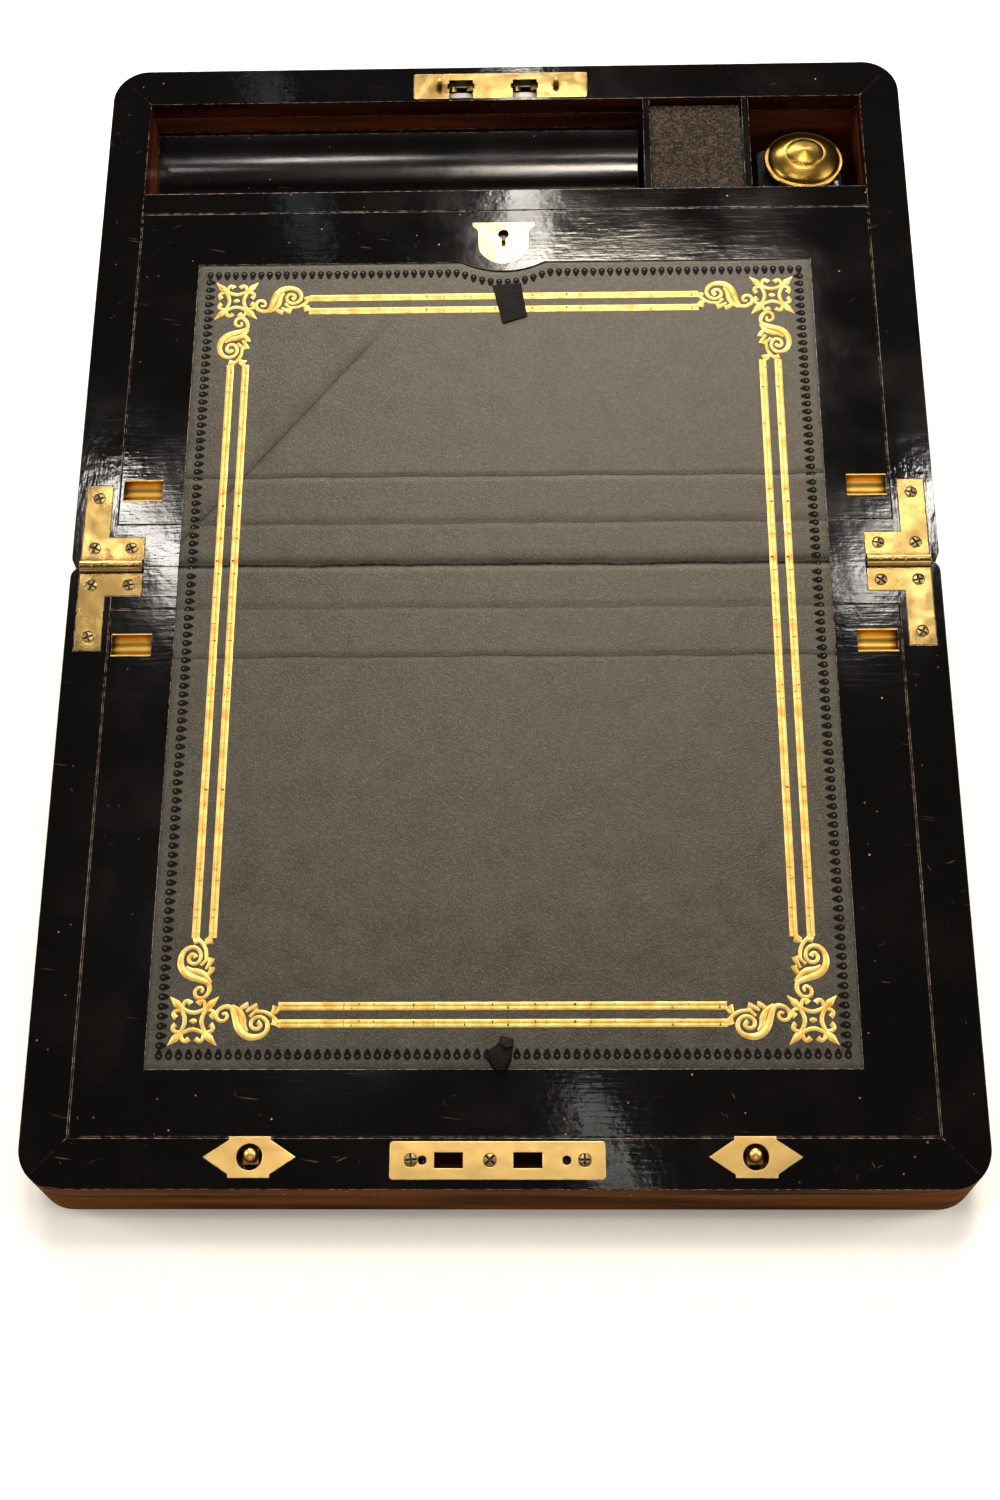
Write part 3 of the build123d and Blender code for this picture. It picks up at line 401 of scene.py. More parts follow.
@dataclass(frozen=True)
class GoatLeather:
    """Vegetable tanned goatskin, dyed black and rubbed grey by use, with a fine pebbled grain."""

    name: str = "worn_black_goatskin"
    dark: str = "070705"
    rubbed: str = "100f0c"
    crest: str = "322e27"
    grain_per_m: float = 640.0
    roughness: float = 0.40
    shine: float = 0.70
    depth: float = 0.30
    # folds to paint shade along: place, slant, line width, shade width and strength
    creases_m: tuple[tuple[float, float, float, float, float], ...] = ()
    imprint: bool = False
    printed: bool = True
    sheen: str = "faf0de"

    def grain(self, tree: bpy.types.NodeTree, place):
        """Height of the grain: crowded wavering wrinkles with finer ones on them."""
        # pebbles of the grain are about 0.6 mm; drawn near 1.4 mm, the finest that shows
        waver = {"Scale": self.grain_per_m, "Detail": 3.0, "Roughness": 0.6, "Distortion": 1.6}
        wrinkles = add_node(tree, "TexNoise", waver, {"Vector": place}).outputs["Fac"]
        fine = Ramp.clouds(tree, place, 1500.0, 3.0)
        return add_node(tree, "Math", {1: 1.1}, {0: wrinkles, 2: fine}, operation="MULTIPLY_ADD").outputs[0]

    def fold_painted_shade(self, tree: bpy.types.NodeTree, place):
        """Painted shade along the folds: a dark line in each, and softer shade on the side where the leather
        rolls into it.
        """
        parts = add_node(tree, "SeparateXYZ", links={0: place})
        wander = Ramp.span(tree, Ramp.clouds(tree, place, 30.0, 3.0), 0.3, 0.7, -0.0006, 0.0006)
        ragged = Ramp.clouds(tree, place, 300.0, 4.0)
        broken = Ramp.span(tree, ragged, 0.3, 0.6, 0.7, 1.0)
        darkening = None
        for place_m, slant, width_m, soft_m, strength in self.creases_m:
            off = add_node(
                tree, "Math", {1: slant}, {0: parts.outputs["X"], 2: parts.outputs["Y"]}, operation="MULTIPLY_ADD"
            ).outputs[0]
            off = add_node(tree, "Math", {1: -place_m}, {0: off}, operation="ADD").outputs[0]
            off = add_node(tree, "Math", links={0: off, 1: wander}, operation="ADD").outputs[0]
            near = add_node(tree, "Math", links={0: off}, operation="ABSOLUTE").outputs[0]
            line = Ramp.times(tree, Ramp.span(tree, near, width_m, width_m * 0.4, 0.0, strength), broken)
            soft = Ramp.span(tree, off, soft_m, 0.0, 0.0, 0.5 * strength)
            below = Ramp.span(tree, off, -0.3 * soft_m, 0.0)
            shade = add_node(
                tree, "Math", links={0: line, 1: Ramp.times(tree, soft, below)}, operation="MAXIMUM"
            ).outputs[0]
            if slant:
                start = Ramp.span(tree, parts.outputs["X"], -0.047, -0.062)
                shade = Ramp.times(tree, shade, start)
            if darkening is None:
                darkening = shade
            else:
                darkening = add_node(tree, "Math", links={0: darkening, 1: shade}, operation="MAXIMUM").outputs[0]
        return darkening

    def tab_imprint(self, tree: bpy.types.NodeTree, place, colour):
        """The rectangle that the folded flap's pull has printed into the leather."""
        parts = add_node(tree, "SeparateXYZ", links={0: place})
        ragged = Ramp.clouds(tree, place, 330.0, 4.0)
        wobble = Ramp.span(tree, ragged, 0.3, 0.7, -0.0006, 0.0006)
        outside = None
        for axis, middle, half in (("X", 0.0042, 0.0052), ("Y", -0.1145, 0.0095)):
            off = add_node(tree, "Math", {1: -middle}, {0: parts.outputs[axis]}, operation="ADD").outputs[0]
            off = add_node(tree, "Math", links={0: off}, operation="ABSOLUTE").outputs[0]
            off = add_node(tree, "Math", {1: -half}, {0: off}, operation="ADD").outputs[0]
            if outside is None:
                outside = off
            else:
                outside = add_node(tree, "Math", links={0: outside, 1: off}, operation="MAXIMUM").outputs[0]
        outside = add_node(tree, "Math", links={0: outside, 1: wobble}, operation="ADD").outputs[0]
        outside = add_node(tree, "Math", links={0: outside}, operation="ABSOLUTE").outputs[0]
        line = Ramp.span(tree, outside, 0.00042, 0.00012)
        line = Ramp.times(tree, line, Ramp.span(tree, ragged, 0.44, 0.56, 0.1, 0.95))
        spot = add_node(
            tree, "VectorMath", {1: (0.0012, -0.1234, 0.0)}, {0: place}, operation="DISTANCE"
        ).outputs["Value"]
        spot = add_node(tree, "Math", links={0: spot, 1: wobble}, operation="ADD").outputs[0]
        blot = Ramp.span(tree, spot, 0.0024, 0.0017)
        both = add_node(tree, "Math", links={0: line, 1: blot}, operation="MAXIMUM").outputs[0]
        return Ramp.mix(tree, both, colour, linear("060505"))

    def build(self) -> bpy.types.Material:
        """Makes the material."""
        material, tree = blank_material(self.name)
        place = add_node(tree, "TexCoord").outputs["UV" if self.printed else "Object"]
        height = self.grain(tree, place)
        patches = Ramp.clouds(tree, place, 17.0, 5.0)
        rubs = Ramp.clouds(tree, place, 75.0, 6.0)
        tone = Ramp.span(tree, patches, 0.25, 0.75)
        colour = Ramp.mix(tree, tone, linear(self.dark), linear(self.rubbed))
        colour = Ramp.mix(tree, Ramp.span(tree, rubs, 0.35, 0.7, 0.0, 0.5), colour, linear(self.rubbed))
        crest = Ramp.span(tree, height, 1.00, 1.22, 0.0, 1.0)
        colour = Ramp.mix(tree, crest, colour, linear(self.crest))
        if self.imprint:
            colour = self.tab_imprint(tree, place, colour)
        rough = Ramp.span(tree, rubs, 0.3, 0.7, self.roughness - 0.07, self.roughness + 0.07)
        bump = add_node(
            tree, "Bump", {"Strength": self.depth, "Distance": 0.0005}, {"Height": height}
        )
        shader = add_node(
            tree,
            "BsdfPrincipled",
            {"IOR": 1.5, "Specular IOR Level": self.shine, "Specular Tint": linear(self.sheen)},
            {"Base Color": colour, "Roughness": rough, "Normal": bump.outputs[0]},
        )
        gleam = Ramp.span(tree, rubs, 0.25, 0.75, 0.80 * self.shine, 1.15 * self.shine)
        # painted shade in the folds: darker colour and less shine along each crease
        if self.creases_m:
            darkening = self.fold_painted_shade(tree, place)
            tree.links.new(Ramp.mix(tree, darkening, colour, linear("030302")), shader.inputs["Base Color"])
            gleam = Ramp.times(tree, gleam, Ramp.span(tree, darkening, 0.0, 1.0, 1.0, 0.08))
        tree.links.new(gleam, shader.inputs["Specular IOR Level"])
        close_material(tree, shader)
        return material


@dataclass(frozen=True)
class GoldLeaf:
    """Gold leaf pressed into leather with a warm tool: bright, with cracks and a fine middle line."""

    name: str = "tooled_gold_leaf"
    gold: str = "e9cb76"
    deep: str = "cc9a40"
    crack: str = "1e1208"

    def build(self) -> bpy.types.Material:
        """Makes the material."""
        material, tree = blank_material(self.name)
        place = add_node(tree, "TexCoord").outputs["UV"]
        parts = add_node(tree, "SeparateXYZ", links={0: place})
        across = add_node(tree, "Math", links={0: parts.outputs["Y"]}, operation="ABSOLUTE").outputs[0]
        patches = Ramp.clouds(tree, place, 190.0, 4.0)
        line = Ramp.times(tree, Ramp.span(tree, across, 0.00032, 0.00014), 0.5)
        # cracks across the line, a millimetre or two apart where the leather has creased
        cracks = Ramp.span(tree, Ramp.clouds(tree, place, 420.0, 5.0, (1.6, 0.5, 1.0)), 0.585, 0.64)
        cracks = Ramp.times(tree, cracks, Ramp.span(tree, across, 0.0012, 0.0010))
        tone = Ramp.span(tree, patches, 0.36, 0.62)
        colour = Ramp.mix(tree, tone, linear(self.deep), linear(self.gold))
        colour = Ramp.mix(tree, line, colour, linear("8a5a20"))
        colour = Ramp.mix(tree, cracks, colour, linear(self.crack))
        rough = Ramp.span(tree, patches, 0.3, 0.7, 0.48, 0.34)
        bump = add_node(
            tree, "Bump", {"Strength": 0.35, "Distance": 0.0003}, {"Height": patches}
        )
        shader = add_node(
            tree,
            "BsdfPrincipled",
            {"Metallic": 0.5},
            {"Base Color": colour, "Roughness": rough, "Normal": bump.outputs[0]},
        )
        close_material(tree, shader)
        return material


@dataclass(frozen=True)
class WornBrass:
    """Cast and filed brass, lacquer long gone: pale yellow where rubbed, brown in its corners."""

    name: str = "rubbed_brass"
    bright: str = "b3985e"
    tarnish: str = "5c3810"
    rough_low: float = 0.17
    rough_high: float = 0.31
    spotting: float = 0.5

    def build(self) -> bpy.types.Material:
        """Makes the material."""
        material, tree = blank_material(self.name)
        place = add_node(tree, "TexCoord").outputs["Object"]
        patches = Ramp.clouds(tree, place, 52.0, 5.0)
        # file and rubbing marks, a few tenths of a millimetre apart
        marks = Ramp.clouds(tree, place, 1300.0, 3.0, (0.12, 1.0, 1.0))
        hollow = add_node(tree, "AmbientOcclusion", {"Distance": 0.0035}, samples=8)
        corner = Ramp.span(tree, hollow.outputs["AO"], 0.97, 0.55)
        spots = Ramp.times(tree, Ramp.span(tree, patches, 0.42, 0.76), self.spotting)
        darkening = add_node(tree, "Math", links={0: corner, 1: spots}, operation="MAXIMUM").outputs[0]
        colour = Ramp.mix(tree, darkening, linear(self.bright), linear(self.tarnish))
        rounded = add_node(tree, "Bevel", {"Radius": 0.35 * MM}, samples=6)
        bump = add_node(
            tree,
            "Bump",
            {"Strength": 0.08, "Distance": 0.0001},
            {"Height": marks, "Normal": rounded.outputs[0]},
        )
        # shallow waves that filing by hand leaves, some millimetres wide
        waves = Ramp.clouds(tree, place, 95.0, 1.0)
        links = {"Height": waves, "Normal": bump.outputs[0]}
        bump = add_node(tree, "Bump", {"Strength": 0.5, "Distance": 0.0006}, links)
        rough = Ramp.span(tree, patches, 0.3, 0.7, self.rough_low, self.rough_high)
        shader = add_node(
            tree,
            "BsdfPrincipled",
            {"Metallic": 1.0},
            {"Base Color": colour, "Roughness": rough, "Normal": bump.outputs[0]},
        )
        close_material(tree, shader)
        return material


@dataclass(frozen=True)
class BottleGlass:
    """Thick moulded flint glass, very slightly green, holding a dried film of ink."""

    name: str = "moulded_flint_glass"
    tint: str = "cfe0d8"

    def build(self) -> bpy.types.Material:
        """Makes the material."""
        material, tree = blank_material(self.name)
        place = add_node(tree, "TexCoord").outputs["Object"]
        ripple = Ramp.clouds(tree, place, 140.0, 2.0)
        film = Ramp.span(tree, ripple, 0.4, 0.7)
        colour = Ramp.mix(tree, film, linear(self.tint), linear("9fb3aa"))
        bump = add_node(tree, "Bump", {"Strength": 0.2, "Distance": 0.0003}, {"Height": ripple})
        shader = add_node(
            tree,
            "BsdfPrincipled",
            {"IOR": 1.5, "Transmission Weight": 0.9, "Roughness": 0.06},
            {"Base Color": colour, "Normal": bump.outputs[0]},
        )
        close_material(tree, shader)
        return material


@dataclass(frozen=True)
class StudioPaper:
    """Seamless white background paper."""

    name: str = "background_paper"
    white: str = "fbfaf6"

    def build(self) -> bpy.types.Material:
        """Makes the material."""
        material, tree = blank_material(self.name)
        place = add_node(tree, "TexCoord").outputs["Object"]
        fibre = Ramp.clouds(tree, place, 300.0, 2.0)
        colour = Ramp.mix(tree, fibre, linear(self.white), linear("f8f6f0"))
        shader = add_node(tree, "BsdfPrincipled", {"Roughness": 0.9}, {"Base Color": colour})
        close_material(tree, shader)
        return material


# ---- making pieces -------------------------------------------------------------------------
def verts_of(made: dict) -> list[bmesh.types.BMVert]:
    """The vertices among what a bmesh operator made."""
    found = made.get("verts") or made.get("geom") or []
    return [v for v in found if isinstance(v, bmesh.types.BMVert)]


def finish_piece(
    name: str,
    shape: bmesh.types.BMesh,
    finishes: Sequence[bpy.types.Material],
    placing: Matrix,
    uv_rule: Optional[UvRule] = None,
    smooth: bool = True,
) -> bpy.types.Object:
    """Turns a bmesh in slope millimetres to an object in the room.

    Args:
        name: The piece's name.
        shape: Its mesh, which is freed.
        finishes: Its materials, in the order of the faces' material numbers.
        placing: The matrix from the mesh's own frame to the room.
        uv_rule: Gives the pattern place of a corner, in metres.
        smooth: Whether its faces are shaded smooth.

    Returns:
        The new object.
    """
    bmesh.ops.recalc_face_normals(shape, faces=shape.faces)
    while shape.loops.layers.uv:
        shape.loops.layers.uv.remove(shape.loops.layers.uv[0])
    if uv_rule is not None:
        layer = shape.loops.layers.uv.new("Pattern")
        for face in shape.faces:
            for loop in face.loops:
                loop[layer].uv = uv_rule(loop.vert.co)
    for face in shape.faces:
        face.smooth = smooth
    bmesh.ops.transform(shape, matrix=placing, verts=shape.verts)
    mesh = bpy.data.meshes.new(name)
    shape.to_mesh(mesh)
    shape.free()
    mesh.set_sharp_from_angle(angle=math.radians(38))
    for finish in finishes:
        mesh.materials.append(finish)
    piece = bpy.data.objects.new(name, mesh)
    bpy.context.scene.collection.objects.link(piece)
    return piece


def flat_uv(corner: Vector) -> Point2:
    """The pattern place of a corner on the slope: its own place, in metres."""
    return corner.x * MM, corner.y * MM


def slab(
    shape: bmesh.types.BMesh,
    across: Point2,
    along: Point2,
    steps: tuple[int, int],
    low: float,
    high: float,
) -> tuple[list[bmesh.types.BMVert], list[bmesh.types.BMVert]]:
    """Adds a thin gridded slab.

    Args:
        shape: The mesh to add to.
        across: Its lowest and highest x.
        along: Its lowest and highest t.
        steps: How many cells it has across and along.
        low: Height of its underside.
        high: Height of its upper side.

    Returns:
        The vertices of the upper side and of the underside.
    """
    made = bmesh.ops.create_grid(shape, x_segments=steps[0], y_segments=steps[1], size=0.5)
    under = verts_of(made)
    size = (across[1] - across[0], along[1] - along[0], 1.0)
    middle = ((across[0] + across[1]) / 2, (along[0] + along[1]) / 2, low)
    bmesh.ops.scale(shape, vec=size, verts=under)
    bmesh.ops.translate(shape, vec=middle, verts=under)
    faces = list({face for vert in under for face in vert.link_faces})
    upper = verts_of(bmesh.ops.extrude_face_region(shape, geom=faces))
    bmesh.ops.translate(shape, vec=(0, 0, high - low), verts=upper)
    return upper, under


# ---- leather -------------------------------------------------------------------------------
@dataclass(frozen=True)
class Crease:
    """A fold line across the whole leather."""

    t: float
    depth: float
    width: float
    soft: float
    # how dark the painted shade along this fold is
    darkening: float


@dataclass
class WritingSkin:
    """The leather writing surface: three pieces of one skin, glued over both flaps and the rails."""

    half_width: float = 135.0
    far: float = 146.5
    near: float = -208.0
    seat: float = -1.40
    surface: float = -0.45
    rail: float = 19.0
    joint: float = 19.3
    split: float = 9.5
    bend: float = 4.0
    dip_radius: float = 38.0
    dip_depth: float = 5.0
    padded_to: float = 41.0
    padding: float = 0.16
    creases: tuple[Crease, ...] = (
        Crease(41.0, 0.20, 0.7, 3.0, 0.75),
        Crease(19.2, 0.20, 1.3, 5.0, 0.45),
        Crease(0.0, 0.50, 1.7, 7.0, 1.0),
        Crease(-19.2, 0.12, 1.3, 4.0, 0.35),
        Crease(-41.0, 0.14, 0.7, 2.0, 0.60),
    )
    pieces: dict = field(default_factory=dict)

    def far_edge(self, x: float) -> float:
        """The far edge of the leather, which dips round the shield."""
        chord = math.sqrt(self.dip_radius**2 - (self.dip_radius - self.dip_depth) ** 2)
        if abs(x) >= chord:
            return self.far
        middle = self.far + self.dip_radius - self.dip_depth
        return middle - math.sqrt(self.dip_radius**2 - x * x)

    def relief(self, x: float, t: float) -> float:
        """How far the leather stands above its even height."""
        rise = 0.09 * noise.noise(Vector((x / 34, t / 34, 0.0)))
        rise += 0.05 * noise.noise(Vector((x / 9, t / 9, 3.1)))
        inside = min(1.0, max(0.0, (self.padded_to - abs(t)) / 3))
        rise += self.padding * inside * inside * (3 - 2 * inside)
        for crease in self.creases:
            wander = 0.5 * noise.noise(Vector((x / 40, crease.t, 7.7)))
            off = (t - crease.t - wander) / crease.width
            rise -= crease.depth * math.exp(-off * off)
        # a long slanting crease on the far left
        along = Vector((52.0, 64.0)).normalized()
        reach = Vector((x + 110.0, t - 42.0))
        run, off = reach.dot(along), reach.x * along.y - reach.y * along.x
        if -4 < run < 84:
            fade = min(1.0, (run + 4) / 10, (84 - run) / 14)
            rise -= 0.30 * fade * math.exp(-((off / 1.7) ** 2))
        return rise

    def height(self, x: float, t: float) -> float:
        """Height of the leather's surface at a place."""
        return self.surface + self.relief(x, t)

    def sheet_piece(self, name: str, start: float, end: float, finish: bpy.types.Material):
        """Makes one piece of the skin.

        Args:
            name: The piece's name.
            start: The lower end of its stretch along the slope.
            end: The upper end.
            finish: Its material.

        Returns:
            The object.
        """
        shape = bmesh.new()
        steps = (136, max(12, round((end - start) / 1.1)))
        upper, under = slab(
            shape, (-self.half_width, self.half_width), (start, end), steps, self.seat, self.surface
        )
        for vert in upper + under:
            x, t = vert.co.x, vert.co.y
            if end == self.far and t > self.far - 24:
                share = (t - self.far + 24) / 24
                vert.co.y = self.far - 24 + share * (self.far_edge(x) - self.far + 24)
        for vert in upper:
            x, t = vert.co.x, vert.co.y
            lip = min(self.half_width - abs(x), self.far_edge(x) - t, t - self.near)
            vert.co.z += self.relief(x, t) - 0.16 * max(0.0, 1.0 - lip / 1.2)
        return finish_piece(name, shape, [finish], SLOPE.placing, flat_uv)

    def carry(self, piece: bpy.types.Object, zone: str) -> None:
        """Bakes a piece's placing into its mesh; the bend lines of its stretch are worked out, but the piece is
        not bent.

        Args:
            piece: The leather, or something on it.
            zone: Upper, middle or lower.
        """
        line = {"upper": self.joint, "middle": 0.0, "lower": -self.joint}[zone]
        SLOPE.place(0, line + self.bend)
        SLOPE.place(0, line - self.bend)
        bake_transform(piece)

    def zones(self) -> dict[str, Point2]:
        """The stretch along the slope that each piece of the skin covers."""
        return {
            "upper": (self.split, self.far),
            "middle": (-self.split, self.split),
            "lower": (self.near, -self.split),
        }

    def build(self, finish: bpy.types.Material) -> None:
        stands_for = {
            "upper": ("upper_leather", "base_leather_strip"),
            "middle": (),
            "lower": ("lower_leather", "lid_leather_strip"),
        }
        for zone, (start, end) in self.zones().items():
            piece = self.sheet_piece("leather_" + zone, start, end, finish)
            if stands_for[zone]:
                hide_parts(*stands_for[zone])
            self.carry(piece, zone)
            self.pieces[zone] = piece
            LOG.info("leather %s: %.0f to %.0f mm", zone, start, end)


# ---- blind tooling -------------------------------------------------------------------------
@dataclass
class BlindTooling:
    """The border of small beads in pointed hollows, pressed without gold round the leather."""

    inset: float = 5.2
    pitch: float = 3.75
    bead: float = 0.62
    hollow: float = 1.72

    def stations(self, skin: WritingSkin) -> Iterable[tuple[float, float, float]]:
        """Each bead's place, and the turn of its point towards the middle."""
        side = skin.half_width - self.inset
        low = skin.near + self.inset
        high = skin.far - self.inset
        across = round(2 * side / self.pitch)
        along = round((high - low) / self.pitch)
        for count in range(across + 1):
            x = -side + 2 * side * count / across
            yield x, low, 0.0
            yield x, skin.far_edge(x) - self.inset, math.pi
        for count in range(1, along):
            t = low + (high - low) * count / along
            yield -side, t, -math.pi / 2
            yield side, t, math.pi / 2

    def stamp(self, shape: bmesh.types.BMesh, x: float, t: float, turn: float, height: float) -> None:
        """Presses one hollow with its bead.

        Args:
            shape: The mesh to add to.
            x: Place across.
            t: Place along.
            turn: The angle that its point is turned to.
            height: The leather's height there.
        """
        ring = verts_of(bmesh.ops.create_circle(shape, cap_ends=True, segments=12, radius=self.hollow))
        for vert in ring:
            vert.co.x *= 0.86
            if vert.co.y > 0.0:
                vert.co.x *= 1.0 - 0.35 * vert.co.y / self.hollow
                vert.co.y *= 1.55
        faces = list({face for vert in ring for face in vert.link_faces})
        lifted = verts_of(bmesh.ops.extrude_face_region(shape, geom=faces))
        bmesh.ops.translate(shape, vec=(0, 0, 0.14), verts=lifted)
        hollow = ring + lifted
        dome = verts_of(
            bmesh.ops.create_uvsphere(shape, u_segments=8, v_segments=4, radius=self.bead)
        )
        bmesh.ops.scale(shape, vec=(1, 1, 0.7), verts=dome)
        bmesh.ops.translate(shape, vec=(0, -0.35, 0.14), verts=dome)
        place = Matrix.Translation((x, t, height - 0.09)) @ Matrix.Rotation(turn, 4, "Z")
        bmesh.ops.transform(shape, matrix=place, verts=hollow + dome)
        for face in {face for vert in hollow for face in vert.link_faces}:
            face.material_index = 1

    def build(self, skin: WritingSkin, beads: bpy.types.Material, hollows: bpy.types.Material) -> None:
        """Makes the border, one piece for each piece of leather."""
        for zone, (start, end) in skin.zones().items():
            shape = bmesh.new()
            number = 0
            for x, t, turn in self.stations(skin):
                if start <= t < end:
                    self.stamp(shape, x, t, turn, skin.height(x, t))
                    number += 1
            piece = finish_piece("tooling_" + zone, shape, [beads, hollows], SLOPE.placing, flat_uv)
            skin.carry(piece, zone)
            LOG.info("blind tooling %s: %d beads", zone, number)


# ---- gilding -------------------------------------------------------------------------------
Stroke = tuple[Point3, ...]


@dataclass
class GiltBorder:
    """Double gilt lines with a knot at each corner and a leafy scroll between knot and lines."""

    knots_x: Point2 = (-117.5, 117.4)
    knots_t: Point2 = (-189.7, 128.0)
    inward: float = 2.3
    line: float = 3.1
    gap: float = 3.5
    line_start: float = 32.2
    rise: float = 0.05
    ridge: float = 0.12

    # A stroke is (along, across, width). The scroll runs away from its knot; across is inward.
    scroll_strokes: tuple[Stroke, ...] = (
        (
            (10.9, 2.5, 1.2),
            (12.2, 3.4, 1.3),
            (13.2, 1.6, 1.4),
            (11.6, -0.3, 1.5),
            (8.9, 0.4, 1.6),
            (8.5, 3.4, 1.7),
            (11.2, 5.6, 1.8),
            (14.4, 5.5, 2.0),
            (15.9, 1.6, 2.6),
            (17.3, -3.2, 3.2),
            (20.4, -6.0, 3.0),
            (24.6, -6.4, 2.4),
            (28.3, -4.3, 1.9),
            (28.7, -0.4, 1.8),
            (25.5, 2.0, 1.6),
            (22.1, 0.6, 1.6),
            (22.0, -2.5, 1.6),
            (24.5, -3.4, 1.7),
            (26.3, -1.5, 1.8),
            (24.5, -0.4, 2.2),
        ),
        ((6.2, 1.8, 1.8), (7.6, 2.6, 1.3), (8.8, 2.8, 1.2)),
        ((14.6, 5.9, 1.2), (17.4, 4.2, 2.2), (19.0, 1.2, 2.8), (19.4, -2.2, 2.0), (21.0, -3.9, 0.9)),
        ((17.0, 3.6, 1.4), (18.6, 5.8, 2.0), (20.8, 6.2, 2.6)),
        ((20.0, 3.6, 1.2), (22.0, 5.2, 1.8), (24.3, 5.8, 2.7)),
        ((21.4, 1.6, 1.3), (23.2, 3.2, 1.5), (24.4, 4.8, 1.2)),
        ((23.4, 3.6, 1.4), (26.5, 3.8, 1.5), (29.6, 2.3, 1.7), (31.5, 0.4, 1.8), (30.8, -1.7, 2.8)),
        ((29.8, 2.0, 1.5), (30.8, 4.2, 1.9), (31.3, 5.6, 2.9)),
        ((31.0, 2.8, 1.6), (32.2, 4.4, 1.5), (33.2, 5.4, 1.4)),
        ((31.2, 0.8, 1.6), (32.2, -0.6, 1.5), (33.2, -1.0, 1.4)),
    )
    knot_strokes: tuple[Stroke, ...] = (
        ((-4.6, 5.0, 1.5), (-2.8, 3.8, 1.7), (0.0, 3.0, 1.8), (2.8, 3.8, 1.7), (4.6, 5.0, 1.5)),
        ((-4.3, 4.8, 1.4), (-4.2, 7.0, 1.6), (-2.5, 8.0, 1.8), (-1.2, 6.6, 2.4)),
        ((4.3, 4.8, 1.4), (4.2, 7.0, 1.6), (2.5, 8.0, 1.8), (1.2, 6.6, 2.4)),
        ((4.2, 4.2, 1.2), (6.3, 6.3, 3.9), (7.6, 7.6, 2.0), (9.3, 9.3, 0.4)),
    )

    @property
    def lines_x(self) -> Point2:
        """The middle of the double line at the left and at the right."""
        return self.knots_x[0] + self.inward, self.knots_x[1] - self.inward

    @property
    def lines_t(self) -> Point2:
        """The middle of the double line at the near and at the far edge."""
        return self.knots_t[0] + self.inward, self.knots_t[1] - self.inward

    def stroke_mesh(self, points: Stroke) -> bpy.types.Mesh:
        """A swelling, flattened stroke as a mesh, near the origin."""
        curve = bpy.data.curves.new("stroke", "CURVE")
        curve.dimensions = "3D"
        curve.bevel_depth = 0.5
        curve.bevel_resolution = 1
        curve.use_fill_caps = True
        spline = curve.splines.new("NURBS")
        spline.points.add(len(points) - 1)
        for control, (along, across, width) in zip(spline.points, points):
            control.co = (along, across, 0.0, 1.0)
            control.radius = width * 0.9
        spline.order_u = 3
        spline.use_endpoint_u = True
        spline.resolution_u = 5
        holder = bpy.data.objects.new("stroke", curve)
        mesh = bpy.data.meshes.new_from_object(holder)
        bpy.data.objects.remove(holder)
        bpy.data.curves.remove(curve)
        return mesh

    def draw(self, shape: bmesh.types.BMesh, strokes: Iterable[Stroke], place: Matrix, skin: WritingSkin):
        """Adds strokes at a place, lying on the leather.

        Args:
            shape: The mesh to add to.
            strokes: The strokes.
            place: Where their own origin and axes go, in slope millimetres.
            skin: The leather.
        """
        for points in strokes:
            before = set(shape.verts)
            mesh = self.stroke_mesh(points)
            shape.from_mesh(mesh)
            bpy.data.meshes.remove(mesh)
            added = [vert for vert in shape.verts if vert not in before]
            bmesh.ops.scale(shape, vec=(1, 1, 0.28), verts=added)
            bmesh.ops.transform(shape, matrix=place, verts=added)
            for vert in added:
                vert.co.z += skin.height(vert.co.x, vert.co.y) + self.rise
            bmesh.ops.remove_doubles(shape, verts=added, dist=0.002)

    def corner(self, shape: bmesh.types.BMesh, x: float, t: float, skin: WritingSkin) -> None:
        """Draws one knot and its two scrolls."""
        spot = Matrix.Translation((x, t, 0))
        for quarter in range(4):
            turn = Matrix.Rotation(quarter * math.pi / 2, 4, "Z")
            self.draw(shape, self.knot_strokes, spot @ turn, skin)
        self.draw(shape, [((-1.4, 0.0, 0.8), (0.0, 0.0, 3.6), (1.4, 0.0, 0.8))], spot, skin)
        inward_x = -1.0 if x > 0 else 1.0
        inward_t = -1.0 if t > 0 else 1.0
        level = Matrix(((inward_x, 0, 0, x), (0, inward_t, 0, t), (0, 0, 1, 0), (0, 0, 0, 1)))
        upright = Matrix(((0, inward_x, 0, x), (inward_t, 0, 0, t), (0, 0, 1, 0), (0, 0, 0, 1)))
        self.draw(shape, self.scroll_strokes, level, skin)
        self.draw(shape, self.scroll_strokes, upright, skin)

    def run(self, shape: bmesh.types.BMesh, skin: WritingSkin, fixed: float, span: Point2, level: bool):
        """Adds one gilt line.

        Args:
            shape: The mesh to add to.
            skin: The leather.
            fixed: The place of the line's middle across its run.
            span: Where it starts and ends.
            level: Whether it runs across the slope, and not along it.
        """
        wide = (fixed - self.line / 2, fixed + self.line / 2)
        cells = max(2, round((span[1] - span[0]) / 1.2))
        if level:
            upper, _ = slab(shape, span, wide, (cells, 8), skin.surface - 0.3, skin.surface)
        else:
            upper, _ = slab(shape, wide, span, (8, cells), skin.surface - 0.3, skin.surface)
        for vert in upper:
            across = abs((vert.co.y if level else vert.co.x) - fixed) / (self.line / 2)
            ridge = self.ridge * math.sin(math.pi * min(1.0, across))
            vert.co.z += skin.relief(vert.co.x, vert.co.y) + self.rise + ridge

